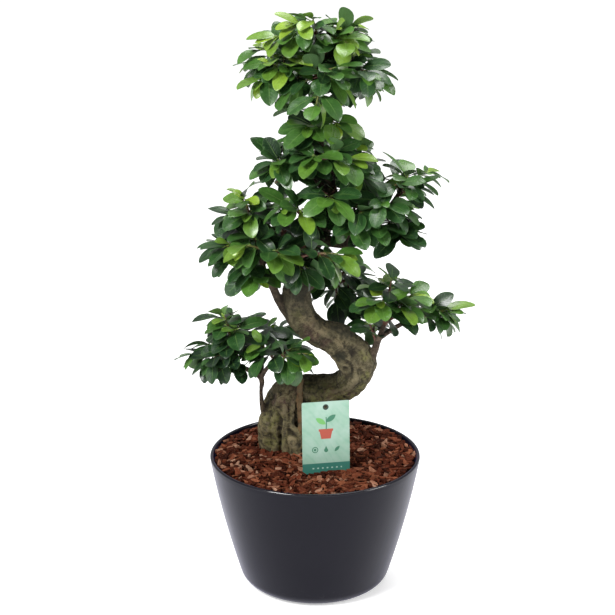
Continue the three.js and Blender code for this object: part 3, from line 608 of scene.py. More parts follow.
def nearest_on_limbs(points, lines):
    """Each point's place (across, over, along) by the limb ring with the nearest surface, and its radius."""
    keys = ("centre", "across", "over", "along")
    centre, *ways = (np.vstack([line[key] for line in lines]) for key in keys)
    radius = np.concatenate([line["radius"] for line in lines])
    run = np.concatenate([line["run"] + LIMB_SHIFT * number for number, line in enumerate(lines)])
    nearest = np.concatenate([
        (np.linalg.norm(block[:, None] - centre, axis=-1) - radius).argmin(axis=1)
        for block in np.array_split(points, len(points) // 8000 + 1)
    ])
    offset = points - centre[nearest]
    local = np.hstack([dot(offset, way[nearest]) for way in ways])
    local[:, 2] += run[nearest]
    return local, radius[nearest]


def bark_relief(points, local, radius):
    """How far the bark stands out, in millimetres: broad swellings, grooves that run along the limb, fine
    creases that run round it, and rings of bark at old branch scars. Thin limbs have less of each."""
    size = np.clip(radius / 18, 0.12, 1.2)
    lengthwise = local * (1, 1, 1 / 6)
    crosswise = local * (1, 1, 2.4)
    swell = 1.2 * lumps(points, 24, 3) + 1.0 * lumps(points, 10, 11) + 0.45 * lumps(points, 5, 12)
    grooves = 1.2 * lumps(lengthwise, 8, 5) - 0.5 * smooth_step(0.2, 0, abs(lumps(lengthwise, 7, 6)))
    creases = -0.35 * smooth_step(0.14, 0, abs(lumps(crosswise, 11, 7))) + 0.4 * lumps(crosswise, 4, 8)
    relief = size * (swell + grooves * np.clip(size, 0.4, 1) + creases)
    for *middle, reach, height in SWELLINGS:
        relief += height * np.exp(-(np.linalg.norm(points - middle, axis=1) / reach) ** 2)
    for *middle, reach in SCARS:
        away = np.linalg.norm(points - middle, axis=1) / reach
        relief += 1.6 * np.exp(-((away - 1) / 0.3) ** 2) - 1.4 * np.exp(-((away / 0.55) ** 2))
    return np.clip(relief, -0.3 * radius, 0.65 * radius)


def tree_wood(look):
    """The trunk, roots, branches and sinews as one skin of bark. Gives back the lines of its limbs."""
    trunk = limb_line(TRUNK, LIMB_STEP)
    roots = [limb_line(root, LIMB_STEP) for root in ROOTS]
    branches = [limb_line(branch, LIMB_STEP) for branch in BRANCHES.values()]
    clinging = [limb_line(root, THIN_LIMB_STEP) for root in CLINGING_ROOTS]
    sinews = [sinew(trunk, *shape) for shape in SINEWS]
    tubes = [tube(trunk, TRUNK_SIDES, trunk_flute)]
    for lines, sides in ((roots, ROOT_SIDES), (branches, BRANCH_SIDES), (clinging + sinews, THIN_SIDES)):
        tubes += [tube(line, sides) for line in lines]
    points, normals, edges, faces = fused(*joined(tubes))
    limbs = [trunk, *roots, *branches]
    local, radius = nearest_on_limbs(points, limbs)
    rust = np.linalg.norm(points[:, None] - clinging[0]["centre"], axis=-1).min(axis=1) < RUST_REACH
    points = points + normals * bark_relief(points, local, radius)[:, None]
    near = averaged(points, edges, NEAR_ROUNDS)
    far = averaged(near, edges, FAR_ROUNDS)
    ragged = 0.35 * lumps(points, 9, 41) + 0.2 * lumps(points, 4, 42)

    def stain(places):
        """1 in the middle of the nearest place's reach and 0 outside, with an edge frayed by lumps."""
        away = [np.linalg.norm(points - place[:3], axis=1) / place[3] for place in places]
        return smooth_step(1.0, 0.45, np.min(away, axis=0) + ragged)

    form = [dot(points - near, normals), dot(near - far, normals), radius[:, None] / STOUT_RADIUS]
    layers = {
        "grain": local * (1, 1, GRAIN_STRETCH),
        "form": np.hstack(form),
        "stains": np.stack([stain(PURPLE_STAINS), stain(MOSS_STAINS), stain(PALE_STAINS)], -1),
        "shades": np.stack([stain(DARK_STAINS_AND_SHADE), stain(OLIVE_STAINS_AND_LIGHT), rust], -1),
    }
    dress(piece("tree_wood", look, points, faces, layers), "bark", "trunk")
    return limbs


# Twigs and leaves


def on_arch(curve, t):
    """A place on a curve of three control points: (1 - t)^2 a + 2t(1 - t) b + t^2 c."""
    return (1 - t) ** 2 * curve[0] + 2 * t * (1 - t) * curve[1] + t**2 * curve[2]


def twig_frame(curve, t):
    """A place along a twig, the direction along it there, and two across it, the first one level."""
    chord = unit(curve[2] - curve[0])
    level = np.cross(UP, chord)
    if np.linalg.norm(level) < 0.2:
        level = np.array([1.0, 0.0, 0.0])
    along = unit(on_arch(curve, min(t + 1e-4, 1)) - on_arch(curve, max(t - 1e-4, 0)))
    side = unit(level - along * (level @ along))
    return on_arch(curve, t), along, side, np.cross(along, side)


def new_shoot(seed, root, tip, out, radius, youth, bare):
    """A shoot from root to tip, arched up by a share of its length, with leaves on its last stretch."""
    length = np.linalg.norm(tip - root)
    curve = np.array([root, (root + tip) / 2 + UP * TWIG_ARCH * length, tip])
    return {"seed": seed, "curve": curve, "out": out, "radius": radius, "length": length, "youth": youth,
            "first_leaf": max(bare, 1 - LEAF_BEARING / length)}


def spray_shoots(spray, seed):
    """A spray's shoots: the first leaves the limb, the others fork off it, and their tips stand round an
    ellipsoid, each a golden angle on from the last."""
    middle, half, count, spin, carrier, share, youth = spray
    middle = np.array(middle, float)
    root = smooth_curve(TRUNK if carrier == "trunk" else BRANCHES[carrier], share)
    shoots = []
    for k in range(count):
        height = 1 - (2 * k + 1) / count
        ring = math.sqrt(1 - height * height)
        angle = spin + k * GOLDEN_ANGLE
        way = np.array([ring * math.cos(angle), ring * math.sin(angle), height])
        fork = on_arch(shoots[0]["curve"], mix(FIRST_FORK, LAST_FORK, k / count)) if k else root
        out = way + middle * (1, 1, 0) / 150
        radius = TWIG_FORK if k else TWIG_ROOT
        shoots.append(new_shoot(seed + k, fork, way * half + middle, out, radius, youth, LEAST_BARE))
    return shoots


def inner_shoots(name, seed):
    """Short leafy shoots off a limb inside the foliage, evenly spaced, each to a side of its own."""
    points = np.asarray(BRANCHES[name], float)
    length = limb_length(points)
    shoots = []
    for k in range(int(length * (1 - INNER_FIRST) / INNER_STEP) + 1):
        root = smooth_curve(points, min(INNER_FIRST + (k + 0.5) * INNER_STEP / length, 1.0))
        angle = seed + k * GOLDEN_ANGLE
        way = np.array([math.cos(angle), math.sin(angle), 0.35 + 0.5 * chance(seed, k, 16)])
        tip = root + way * INNER_REACH * (0.7 + 0.6 * chance(seed, k, 17))
        shoots.append(new_shoot(seed + k, root, tip, way, TWIG_FORK, INNER_YOUTH_AND_LIGHT, INNER_BARE))
    return shoots


def leaf_ways(shoot, i, place, spread, size=1.0):
    """Every way in which one leaf may stand: where its foot is, which way it points and which way its face
    looks, a row for each turn and lift, with its sizes."""
    seed = shoot["seed"]
    foot, along, side, over = twig_frame(shoot["curve"], place)
    angle = (seed + i * GOLDEN_ANGLE + 0.5 * (chance(seed, i, 1) - 0.5) + TURNS)[:, None]
    open_angle = (spread + 0.3 * (chance(seed, i, 2) - 0.5) + LIFTS)[:, None]
    away = side * np.cos(angle) + over * np.sin(angle)
    point = along * np.cos(open_angle) + away * np.sin(open_angle)
    point[:, 2] = 0.42 * point[:, 2] - 0.05
    point = unit(point)
    x, y = 0.3 * shoot["out"][:2] + 0.5 * (chance(seed, i, np.array([4, 5])) - 0.5)
    face = np.array([x, y - 0.1, 0.75])
    face = unit(face - point * dot(face, point))
    return {
        "foot": np.broadcast_to(foot, point.shape), "point": point, "face": face,
        "length": LEAF_LENGTH * (0.8 + 0.35 * chance(seed, i, 6)) * size,
        "width": LEAF_WIDTH * (0.85 + 0.25 * chance(seed, i, 7)) * size,
        "curl": 0.35 + 0.5 * chance(seed, i, 8), "fold": 0.1 + 0.16 * chance(seed, i, 9),
    }


def on_rib(leaf, t):
    """A leaf's rib at t, an arc that curls away from its face, and the blade's normal there."""
    bend = np.asarray(leaf["curl"] * t)[..., None]
    reach = np.asarray(leaf["length"] / leaf["curl"])[..., None]
    rib = leaf["foot"] + reach * (leaf["point"] * np.sin(bend) - leaf["face"] * (1 - np.cos(bend)))
    return rib, leaf["face"] * np.cos(bend) + leaf["point"] * np.sin(bend)


def on_blade(leaf, t, side):
    """A place on a leaf, or on each way's: t along its rib, and side half-widths across."""
    rib, normal = on_rib(leaf, t)
    half = side * leaf["width"] / 2
    return rib + np.cross(leaf["face"], leaf["point"]) * half + normal * leaf["fold"] * abs(half)


def pick(ways, row):
    return {key: value[row] if np.ndim(value) == 2 else value for key, value in ways.items()}


def frame_leaf(ways, corners):
    """The way that the frame's own leaf stands, the one with most of its rim's corners among the frame's, or
    none if the frame has no such leaf."""
    rims = np.stack([on_blade(ways, t, side) for t, side in RIM_CORNERS], 1)
    away = np.linalg.norm(rims[:, :, None] - corners, axis=-1).min(axis=2)
    shared = (away < RIM_MATCH).sum(axis=1)
    row = int(shared.argmax())
    return pick(ways, row) if shared[row] >= 2 else None


class Crowd:
    """The leaves placed so far, as a few spots on each, and what room they and the wood leave another."""

    def __init__(self, lines):
        self.spots = np.zeros((0, 3))
        self.wood = np.vstack([line["centre"] for line in lines])
        self.wood_radius = np.concatenate([line["radius"] for line in lines])

    def keep(self, leaves, leaf, shoot, i, share):
        """Takes a leaf, if there is one, into the crowd and its spray's leaves, with what colours it: how
        young it is, from 0, old, to 1, young, which rises towards a young shoot's tip and also carries its
        spray's painted light and shade, and two random numbers."""
        if leaf is None:
            return
        self.spots = np.vstack([self.spots, [on_blade(leaf, t, side) for t, side in TRIAL_SPOTS]])
        seed = shoot["seed"]
        age = shoot["youth"] * (0.25 + 0.7 * share) * (0.4 + 0.85 * chance(seed, i, 12))
        colours = {"age": min(age, 1), "tone": chance(seed, i, 13), "phase": chance(seed, i, 14)}
        leaves.append({**leaf, **colours})

    def best(self, ways, clearance=CLEARANCE, least=LEAST_ROOM):
        """The first way with full clearance, or the roomiest one, or none if every way is too tight."""
        trial = np.stack([on_blade(ways, t, side) for t, side in TRIAL_SPOTS], 1)
        foot = ways["foot"][0]
        near = self.spots[np.linalg.norm(self.spots - foot, axis=1) < NEAR_LEAVES]
        room = np.linalg.norm(trial[:, :, None] - near, axis=-1).min(axis=(1, 2), initial=99.0)
        close = np.linalg.norm(self.wood - foot, axis=1) < NEAR_WOOD
        bark = np.linalg.norm(trial[:, 1:, None] - self.wood[close], axis=-1) - self.wood_radius[close]
        seen = np.stack([trial[..., 0], trial[..., 2] + SEEN_RISE * trial[..., 1]], -1)
        inside = (((seen[:, :, None] - CLEARINGS[:, :2]) / CLEARINGS[:, 2:]) ** 2).sum(-1) < 1
        barred = (bark.min(axis=(1, 2), initial=99.0) < WOOD_ROOM) | inside.any(axis=(1, 2))
        room = np.where(barred, 0, room)
        clear = np.flatnonzero(room > clearance)
        row = clear[0] if len(clear) else int(room.argmax())
        return pick(ways, row) if room[row] > least else None


def grow_leaves(crowd, leaves, shoots, size, choose):
    """Leaves along the leafy stretch of each shoot, those that choose finds a way for."""
    for shoot in shoots:
        for i in range(LEAVES_PER_SHOOT):
            share = (i + 0.5) / LEAVES_PER_SHOOT
            place = mix(shoot["first_leaf"], 1, share)
            ways = leaf_ways(shoot, i, place, mix(SPREAD_FOOT, SPREAD_TIP, share), size)
            crowd.keep(leaves, choose(ways), shoot, i, share)


def grow_lower_leaves(crowd, leaves, shoots):
    """Older leaves, evenly spaced on the bare stretch of each shoot."""
    for shoot in shoots:
        bare = shoot["first_leaf"] * shoot["length"]
        for i in range(int((bare - LOWER_BARE) / LOWER_STEP)):
            place = shoot["first_leaf"] - (i + 0.6) * LOWER_STEP / shoot["length"]
            ways = leaf_ways(shoot, i + LOWER_SEED, place, SPREAD_FOOT, LOWER_SIZE)
            crowd.keep(leaves, crowd.best(ways), shoot, i + LOWER_SEED, 0.05)


def grow_tips(crowd, leaves, shoots):
    """Two small young leaves that still stand up at each shoot's tip, and the pointed bud between them."""
    for shoot in shoots:
        young = {**shoot, "youth": 0.45 + 0.6 * shoot["youth"]}
        for i in TIP_SEEDS:
            ways = leaf_ways(shoot, i, 1.0, TIP_SPREAD, 0.5 + 0.2 * chance(shoot["seed"], i, 15))
            crowd.keep(leaves, crowd.best(ways, TIP_CLEARANCE, TIP_LEAST_ROOM), young, i, 1)
        bud = pick(leaf_ways(shoot, BUD_SEED, 0.995, 0.12), 0)
        bud.update(length=BUD_LENGTH, width=BUD_WIDTH, curl=0.2, fold=0.0, age=1.0, tone=0.5, phase=0.5)
        leaves.append(bud)


def blade_half_width(t):
    """Share of the half-width at t along a leaf: s^0.82 (1 - s)^0.69 past the petiole, over its peak."""
    rise, fall = 0.82, 0.69
    s = np.clip((t - PETIOLE * 0.8) / (1.0 - PETIOLE * 0.8), 0, 1)
    widest = rise / (rise + fall)
    return s**rise * (1 - s) ** fall / (widest**rise * (1 - widest) ** fall)


def leaf_mesh(leaves):
    """All leaves as one array of rows and section points, each leaf's rib arched along its length.

    A point is the rib at t, plus side times the half-width across, plus along the normal the fold of the
    blade, a gentle wave of its margin, and half of its thickness up or down."""
    leaf = {key: np.array([one[key] for one in leaves])[:, None, None] for key in leaves[0]}
    width, fold, tone, phase = (leaf[key] for key in ("width", "fold", "tone", "phase"))
    t = LEAF_ROWS[:, None]
    side = SECTION_SIDE
    top = SECTION_TOP
    rib, normal = on_rib(leaf, t)
    tip = on_rib(leaf, 1.0)[0]
    half = np.maximum(blade_half_width(t) * SLIMNESS * width / 2, PETIOLE_HALF * np.minimum(1, width / 12))
    blade = smooth_step(0.14, 0.3, t)
    rim = np.abs(side) > 0.99
    thick = mix(PETIOLE_HALF_THICK, BLADE_HALF_THICK, blade) * np.minimum(1, width / 8)
    rise = blade * fold * half * np.abs(side) ** 1.35 + (tone - 0.5) * 0.35 * t * half * side
    rise = rise + 0.5 * blade * np.sin(7.5 * t + 6.3 * phase + 1.2 * np.sign(side)) * side**2
    rise = rise + np.where(rim, 0, (2 * top - 1) * thick)
    rise = rise - 0.35 * blade * np.exp(-((side / 0.2) ** 2)) * (top > 0.6)
    across = np.cross(leaf["face"], leaf["point"])
    spots = rib + across * (side * half)[..., None] + normal * rise[..., None]
    count, rows, columns = spots.shape[:3]
    points = np.concatenate([spots.reshape(count, -1, 3), leaf["foot"][:, 0], tip[:, 0]], 1)
    sheet = np.stack(np.broadcast_arrays(side, t, top), -1).reshape(-1, 3)
    blade_layer = np.tile(np.vstack([sheet, [(0, 0, 0.5), (0, 1, 0.5)]]), (count, 1))
    leaf_layer = np.repeat(np.stack([leaf["age"], tone, phase], -1), points.shape[1], axis=1)
    rims = np.tile(np.append(np.tile(rim, rows), [False, True]), count)
    faces = repeated(tube_faces(rows, columns), count, points.shape[1])
    return points.reshape(-1, 3), faces, {"blade": blade_layer, "leaf": leaf_layer}, rims


def twig_mesh(shoots):
    """Slender tubes along the shoots' arched curves, from their foot's radius to their tip's."""
    t = np.linspace(0, 1, TWIG_RINGS)
    young = np.append(np.repeat(t, TWIG_SIDES), [0, 1])
    parts = []
    layers = []
    for shoot in shoots:
        frames = zip(*(twig_frame(shoot["curve"], place) for place in t))
        centre, _, across, over = (np.array(rows) for rows in frames)
        radius = mix(shoot["radius"], TWIG_TIP, t) * (1 + 0.1 * np.sin(40 * t + shoot["seed"]))
        line = {"centre": centre, "across": across, "over": over, "radius": radius, "t": t}
        parts.append(tube(line, TWIG_SIDES))
        layers.append(np.stack([young, 0 * young + shoot["youth"], 0 * young], -1))
    return *joined(parts), {"twig": np.vstack(layers)}


def foliage(lines, leaf_look, twig_look):
    """Each spray's leaves and twigs. The frame's leaves all come first, so that the others keep clear."""
    crowd = Crowd(lines)
    grown = {}
    for index, (name, spray) in enumerate(SPRAYS.items()):
        corners = numbers(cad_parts["spray_" + name].data.vertices, "co") / MM
        grown[name] = [], spray_shoots(spray, index * SPRAY_SEEDS)
        grow_leaves(crowd, *grown[name], 1.0, lambda ways: frame_leaf(ways, corners))

    def fill_in(name, shoots):
        leaves, carried = grown[name]
        grow_leaves(crowd, leaves, shoots, FILLER_SIZE, crowd.best)
        carried.extend(shoots)

    seed = len(SPRAYS) * SPRAY_SEEDS
    for name, *filler in FILLERS:
        fill_in(name, spray_shoots(filler, seed))
        seed += SPRAY_SEEDS
    for leaves, shoots in grown.values():
        grow_lower_leaves(crowd, leaves, shoots)
        grow_tips(crowd, leaves, shoots)
    for name in BRANCHES:
        if not name.startswith("low"):
            fill_in(SHOOTS_OF.get(name, name), inner_shoots(name, seed))
            seed += LIMB_SEEDS
    for name, (leaves, shoots) in grown.items():
        dress(piece("leaves_" + name, leaf_look, *leaf_mesh(leaves)), "leaves", "spray_" + name)
        dress(piece("twigs_" + name, twig_look, *twig_mesh(shoots)), "leaves", "spray_" + name)


# Planter, soil and mulch


def planter_radius(z):
    """The planter's outside radius: a rounded foot, then a wall that leans out and swells by 4bt(1 - t)."""
    z = np.asarray(z, float)
    lean = math.pi * 0.4
    corner_top = FOOT_CORNER * (1 - math.cos(lean))
    corner_out = FOOT_RADIUS - FOOT_CORNER + FOOT_CORNER * math.sin(lean)
    foot = FOOT_RADIUS - FOOT_CORNER + FOOT_CORNER * np.sin(np.arccos(np.clip(1 - z / FOOT_CORNER, -1, 1)))
    t = (z - corner_top) / (PLANTER_HEIGHT - corner_top)
    wall = mix(corner_out, RIM_RADIUS, t) + WALL_BULGE * 4 * t * (1 - t)
    return np.where(z < corner_top, foot, wall)


def planter(look):
    """The planter's wall turned round its axis: out from the foot's flat, up the outside, over a round lip,
    and down the inside to the floor."""
    lip = WALL / 2
    top = PLANTER_HEIGHT - lip
    flat = FOOT_RADIUS - FOOT_CORNER
    middle = planter_radius(top) - lip
    outside = [*np.linspace(0, 16, 14), *np.linspace(22, top, 26)]
    inside = (top, 160, 120, 80, 50, 30, 18)
    profile = [(0, 0), (flat - 1.5, 0)]
    profile += [(planter_radius(z), z) for z in outside]
    profile += arc(middle, top, lip, 0.2, math.pi - 0.2, 11)
    profile += [(planter_radius(z) - WALL, z) for z in inside]
    profile += [(flat, WALL), (0, WALL)]
    dress(piece("planter_wall", look, *revolve(profile, PLANTER_TURNS)), "planter", "planter")


def mulch_bed(look):
    """The ground under the chips: rings of points out to the wall, raised by broad and fine lumps."""
    gap = WALL + BED_GAP
    low = SOIL_TOP + 0.4
    profile = [(0, low), (planter_radius(low) - gap, low)]
    profile += [(radius, MULCH_TOP) for radius in np.linspace(planter_radius(MULCH_TOP) - gap, 2, 42)]
    points, faces = revolve(profile + [(0, MULCH_TOP)], BED_TURNS)
    top = points[:, 2] > MULCH_TOP - 1
    points[top, 2] += 1.1 * lumps(points[top], 9, 31) + 0.7 * lumps(points[top], 4, 32) - 1.2
    dress(piece("mulch_bed", look, points, faces), "mulch", "bark_mulch")


def turned(points, angle, axis):
    """Points (a group for each angle) turned about X (0) or Z (2)."""
    a, b = (1, 2) if axis == 0 else (0, 1)
    c = np.cos(angle)[:, None]
    s = np.sin(angle)[:, None]
    out = points.copy()
    out[..., a] = c * points[..., a] - s * points[..., b]
    out[..., b] = s * points[..., a] + c * points[..., b]
    return out


def bark_chips(look):
    """Thousands of bark chips: flat eight-cornered flakes with uneven corners, a little bent, each tipped
    its own way, from just above the bed for the first to the top of the layer for the last."""
    rng = np.random.default_rng(7)
    n = CHIP_COUNT
    order = np.arange(n)
    reach = planter_radius(MULCH_TOP) - WALL - 3
    distance = reach * np.sqrt((order * SPREAD_STEP) % 1)
    angle = order * GOLDEN_ANGLE
    big = rng.random(n) ** 2
    long_half = 3.0 + 5.4 * big + rng.uniform(0, 1.4, n)
    wide_half = long_half * rng.uniform(0.3, 0.62, n)
    thick = rng.uniform(0.5, 1.5, n)
    corners = CHIP_CORNERS * (1 + rng.uniform(-0.28, 0.2, (n, *CHIP_CORNERS.shape)))
    flat = corners * np.stack([long_half, wide_half], -1)[:, None]
    lift = rng.uniform(-0.012, 0.03, n)[:, None] * flat[..., 0] ** 2
    upper = np.dstack([flat, lift + thick[:, None]])
    lower = np.dstack([flat * 0.92, lift - thick[:, None]])
    under = np.outer(thick, (0, 0, -1.1))[:, None]
    crown = [rng.uniform(-0.4, 0.4, n) * long_half, 0 * thick, thick * rng.uniform(1.2, 1.9, n)]
    chips = np.concatenate([lower, upper, under, np.stack(crown, -1)[:, None]], 1)
    tip = rng.uniform(0.05, 0.85, n) * (0.4 + 0.6 * rng.random(n))
    way = rng.uniform(0, 2 * math.pi, n)
    spin = rng.uniform(0, 2 * math.pi, n)
    layer = order / n
    centre = np.stack([distance * np.cos(angle), distance * np.sin(angle), layer], -1)
    centre[:, 2] = MULCH_TOP - 1.5 + 5.9 * layer + 1.6 * (distance / reach) ** 3 + lumps(centre, 24, 51)
    spots = turned(turned(turned(chips, spin - way, 2), tip, 0), way, 2) + centre[:, None]
    limit = planter_radius(np.minimum(spots[..., 2], PLANTER_HEIGHT)) - WALL - 0.4
    pull = np.minimum(1, limit / np.linalg.norm(spots[..., :2], axis=-1))
    spots[..., :2] *= pull.min(axis=1)[:, None, None]
    each = chips.shape[1]
    faces = repeated(tube_faces(2, len(CHIP_CORNERS)), n, each)
    shift = order[:, None, None] * np.array([3.1, 7.7, 5.3]) % 97
    tone = np.stack([rng.random(n), rng.random(n), layer], -1)
    layers = {"chip": np.repeat(tone, each, axis=0), "grain": chips * (0.25, 1, 1) + shift}
    made = piece("bark_chips", look, spots.reshape(-1, 3), faces, layers, smooth=False)
    dress(made, "mulch", "bark_mulch")


# Label


def card_outline():
    """The card's outline from its stem's point round: straight edges, with arcs at the four corners."""
    side = CARD_WIDTH / 2 - CARD_CORNER
    top = CARD_HEIGHT - CARD_CORNER
    stem = CARD_STEM_WIDTH / 2
    shoulder = CARD_POINT_LENGTH - CARD_STEM_LENGTH
    points = [(0, -CARD_STEM_LENGTH), (stem, shoulder), (stem, 0)]
    corners = ((side, CARD_CORNER), (side, top), (-side, top), (-side, CARD_CORNER))
    for turn, (x, y) in zip(np.arange(-1, 3) * math.pi / 2, corners):
        points += arc(x, y, CARD_CORNER, turn, turn + math.pi / 2, 7)
    return points + [(-stem, 0), (-stem, shoulder)]


def plant_label(look):
    """The card cut from its outline with a punched hole, given its thickness, then leant back, turned and
    set in the mulch."""
    curve = bpy.data.curves.new("card", "CURVE")
    curve.dimensions = "2D"
    curve.fill_mode = "BOTH"
    hole = arc(0, CARD_HEIGHT - CARD_HOLE_DROP, CARD_HOLE, 0, 2 * math.pi, 33)[:-1]
    for outline in (card_outline(), hole):
        spline = curve.splines.new("POLY")
        spline.points.add(len(outline) - 1)
        for spot, (x, y) in zip(spline.points, outline):
            spot.co = (x, y, 0, 1)
        spline.use_cyclic_u = True
    curve.extrude = CARD_THICK / 2 - CARD_EDGE
    curve.bevel_depth = CARD_EDGE
    curve.bevel_resolution = 2
    local, _, _, faces = baked(in_scene("card", curve))
    stood = turned(local[None], np.array([math.pi / 2 - CARD_LEAN]), 0)
    placed = turned(stood, np.array([CARD_TURN]), 2)[0] + CARD_FOOT
    made = piece("label_card", look, placed, faces, {"card": local}, smooth=False)
    weld(made.data)
    dress(made, "card", "plant_label")


def weld(mesh):
    """Merges the points that a curve's faces and rims leave doubled, and turns all faces outward."""
    shell = bmesh.new()
    shell.from_mesh(mesh)
    bmesh.ops.remove_doubles(shell, verts=shell.verts, dist=1e-6)
    bmesh.ops.recalc_face_normals(shell, faces=shell.faces)
    shell.to_mesh(mesh)
    shell.free()


# Materials


def operator(operation, reflected=False):
    """A method that adds a Math node for its values. A reflected one takes them the other way round."""
    def method(*values):
        return values[0].look.math(operation, *(values[::-1] if reflected else values))
    return method


class Value:
    """One output of a material's nodes. A sum, product or the like of values adds its Math nodes."""

    def __init__(self, look, socket):
        self.look = look
        self.socket = socket

    __add__ = __radd__ = operator("ADD")
    __sub__ = operator("SUBTRACT")
    __rsub__ = operator("SUBTRACT", reflected=True)
    __mul__ = __rmul__ = operator("MULTIPLY")
    __pow__ = operator("POWER")
    __abs__ = operator("ABSOLUTE")
    sine = operator("SINE")
    most = operator("MAXIMUM")

    def between(self, low, high):
        """0 below low, 1 above high and an even rise between; with high below low, the other way round."""
        return self.look.node("MapRange", {"Value": self, "From Min": low, "From Max": high}, clamp=True)


class Look:
    """A node material. Constants sit on the shader's own sockets, and expressions feed it what varies."""

    def __init__(self, name, **constants):
        self.material = bpy.data.materials.new(name)
        self.material.use_nodes = True
        self.tree = self.material.node_tree
        self.shader = self.tree.nodes["Principled BSDF"]
        for socket, value in constants.items():
            self.shader.inputs[socket.replace("_", " ")].default_value = value
        self.places = self.node("TexCoord", output=3)

    def join(self, socket, value):
        if isinstance(value, Value):
            self.tree.links.new(value.socket, socket)
        elif socket.type == "RGBA":
            socket.default_value = (*value, 1)
        else:
            socket.default_value = value

    def node(self, kind, sockets=(), output=0, stops=(), **settings):
        """A node of that type: its settings and a ramp's stops first, then its sockets' values or links."""
        made = self.tree.nodes.new("ShaderNode" + kind)
        for name, value in settings.items():
            setattr(made, name, value)
        for _ in stops[2:]:
            made.color_ramp.elements.new(1.0)
        for k, (place, colour) in enumerate(stops):
            made.color_ramp.elements[k].position = place
            made.color_ramp.elements[k].color = (*colour, 1)
        for name, value in dict(sockets).items():
            self.join(made.inputs[name], value)
        return Value(self, made.outputs[output])

    def math(self, operation, *values):
        return self.node("Math", enumerate(values), operation=operation)

    def mix(self, factor, first, second):
        return self.node("Mix", {0: factor, 6: first, 7: second}, output=2, data_type="RGBA")

    def paint(self, colour, *coats):
        """A colour with coats over it, each how much of it and its colour."""
        for factor, coat in coats:
            colour = self.mix(factor, colour, coat)
        return colour

    def ramp(self, factor, *stops):
        return self.node("ValToRGB", {0: factor}, stops=stops)

    def split(self, vector):
        """A vector's three numbers."""
        outputs = self.node("SeparateXYZ", {0: vector}).socket.node.outputs
        return [Value(self, output) for output in outputs]

    def layer(self, name):
        """A triple kept at the mesh's points, as a vector."""
        return self.node("Attribute", output=1, attribute_name=name)

    def noise(self, scale, detail=2.0, roughness=0.5, distortion=0.0, where=None):
        """Noise at places on the object, or at those of another vector."""
        return self.node("TexNoise", {"Vector": where or self.places, "Scale": scale, "Detail": detail,
                                      "Roughness": roughness, "Distortion": distortion})

    def feed(self, **values):
        for socket, value in values.items():
            self.join(self.shader.inputs[socket.replace("_", " ")], value)

    def bump(self, height, distance):
        self.feed(Normal=self.node("Bump", {"Height": height, "Distance": distance, "Strength": 1.0}))


def leaf_look():
    """Glossy ficus leaf: dark when old and yellow-green when young, which also paints shaded clumps darker
    and lit ones brighter; a pale rib, faint veins, paler under.
    """
    look = Look("leaf", Coat_Weight=0.34, Coat_Roughness=0.25, Specular_IOR_Level=0.45)
    side, along, top = look.split(look.layer("blade"))
    age, tone, phase = look.split(look.layer("leaf"))
    reach = abs(side)
    rib = reach.between(0.075, 0.02) * along.between(1.02, 0.3)
    waves = (along * 62.0 - reach * 14.0 + phase * 6.0).sine()
    veins = waves.between(0.82, 1.0) * reach.between(1.0, 0.25)
    patch = look.noise(130.0, 4.0, 0.6)
    under = top.between(0.6, 0.4)
    # Colour by how young the leaf is, which also carries painted light and shade: darker in shaded clumps,
    # brighter in lit ones.
    ages_and_light = look.ramp(
        age + (tone - 0.5) * 0.18, (0.0, (0.0045, 0.020, 0.0070)), (0.22, (0.021, 0.073, 0.016)),
        (0.5, (0.068, 0.178, 0.022)), (1.0, (0.27, 0.42, 0.032)))
    colour = look.paint(
        ages_and_light,
        (patch.between(0.62, 0.38) * 0.275, (0.002, 0.012, 0.003)),
        (patch.between(0.55, 0.75) * 0.3, (0.12, 0.24, 0.06)),
        (rib * 0.6, (0.16, 0.29, 0.07)),
        (veins * 0.16, (0.09, 0.20, 0.05)),
        (reach.between(0.92, 1.0) * 0.4, (0.12, 0.25, 0.05)),
        (under * 0.55, (0.10, 0.20, 0.07)),
        (along.between(0.17, 0.12), (0.16, 0.24, 0.05)))
    look.feed(Base_Color=colour, Roughness=0.30 + patch * 0.12 + under * 0.22)
    look.bump(rib * -0.5 + veins * -0.16 + look.noise(900.0) * 0.10, 0.0006)
    return look


def twig_look():
    """Twig skin: reddish brown wood that turns green towards the shoot's tip, with raised leaf scars."""
    look = Look("twig", Specular_IOR_Level=0.4)
    along, youth, _ = look.split(look.layer("twig"))
    grain = look.noise(420.0, 3.0)
    wood = look.ramp(grain, (0.3, (0.045, 0.018, 0.012)), (0.7, (0.15, 0.062, 0.04)))
    # How green it turns follows how young the shoot is, which also carries its spray's painted light and
    # shade.
    colour = look.mix((along * (0.5 + youth)).between(0.55, 1.1) * 0.75, wood, (0.14, 0.19, 0.035))
    look.feed(Base_Color=colour, Roughness=0.5 + grain * 0.2)
    look.bump(grain, 0.0008)
    return look


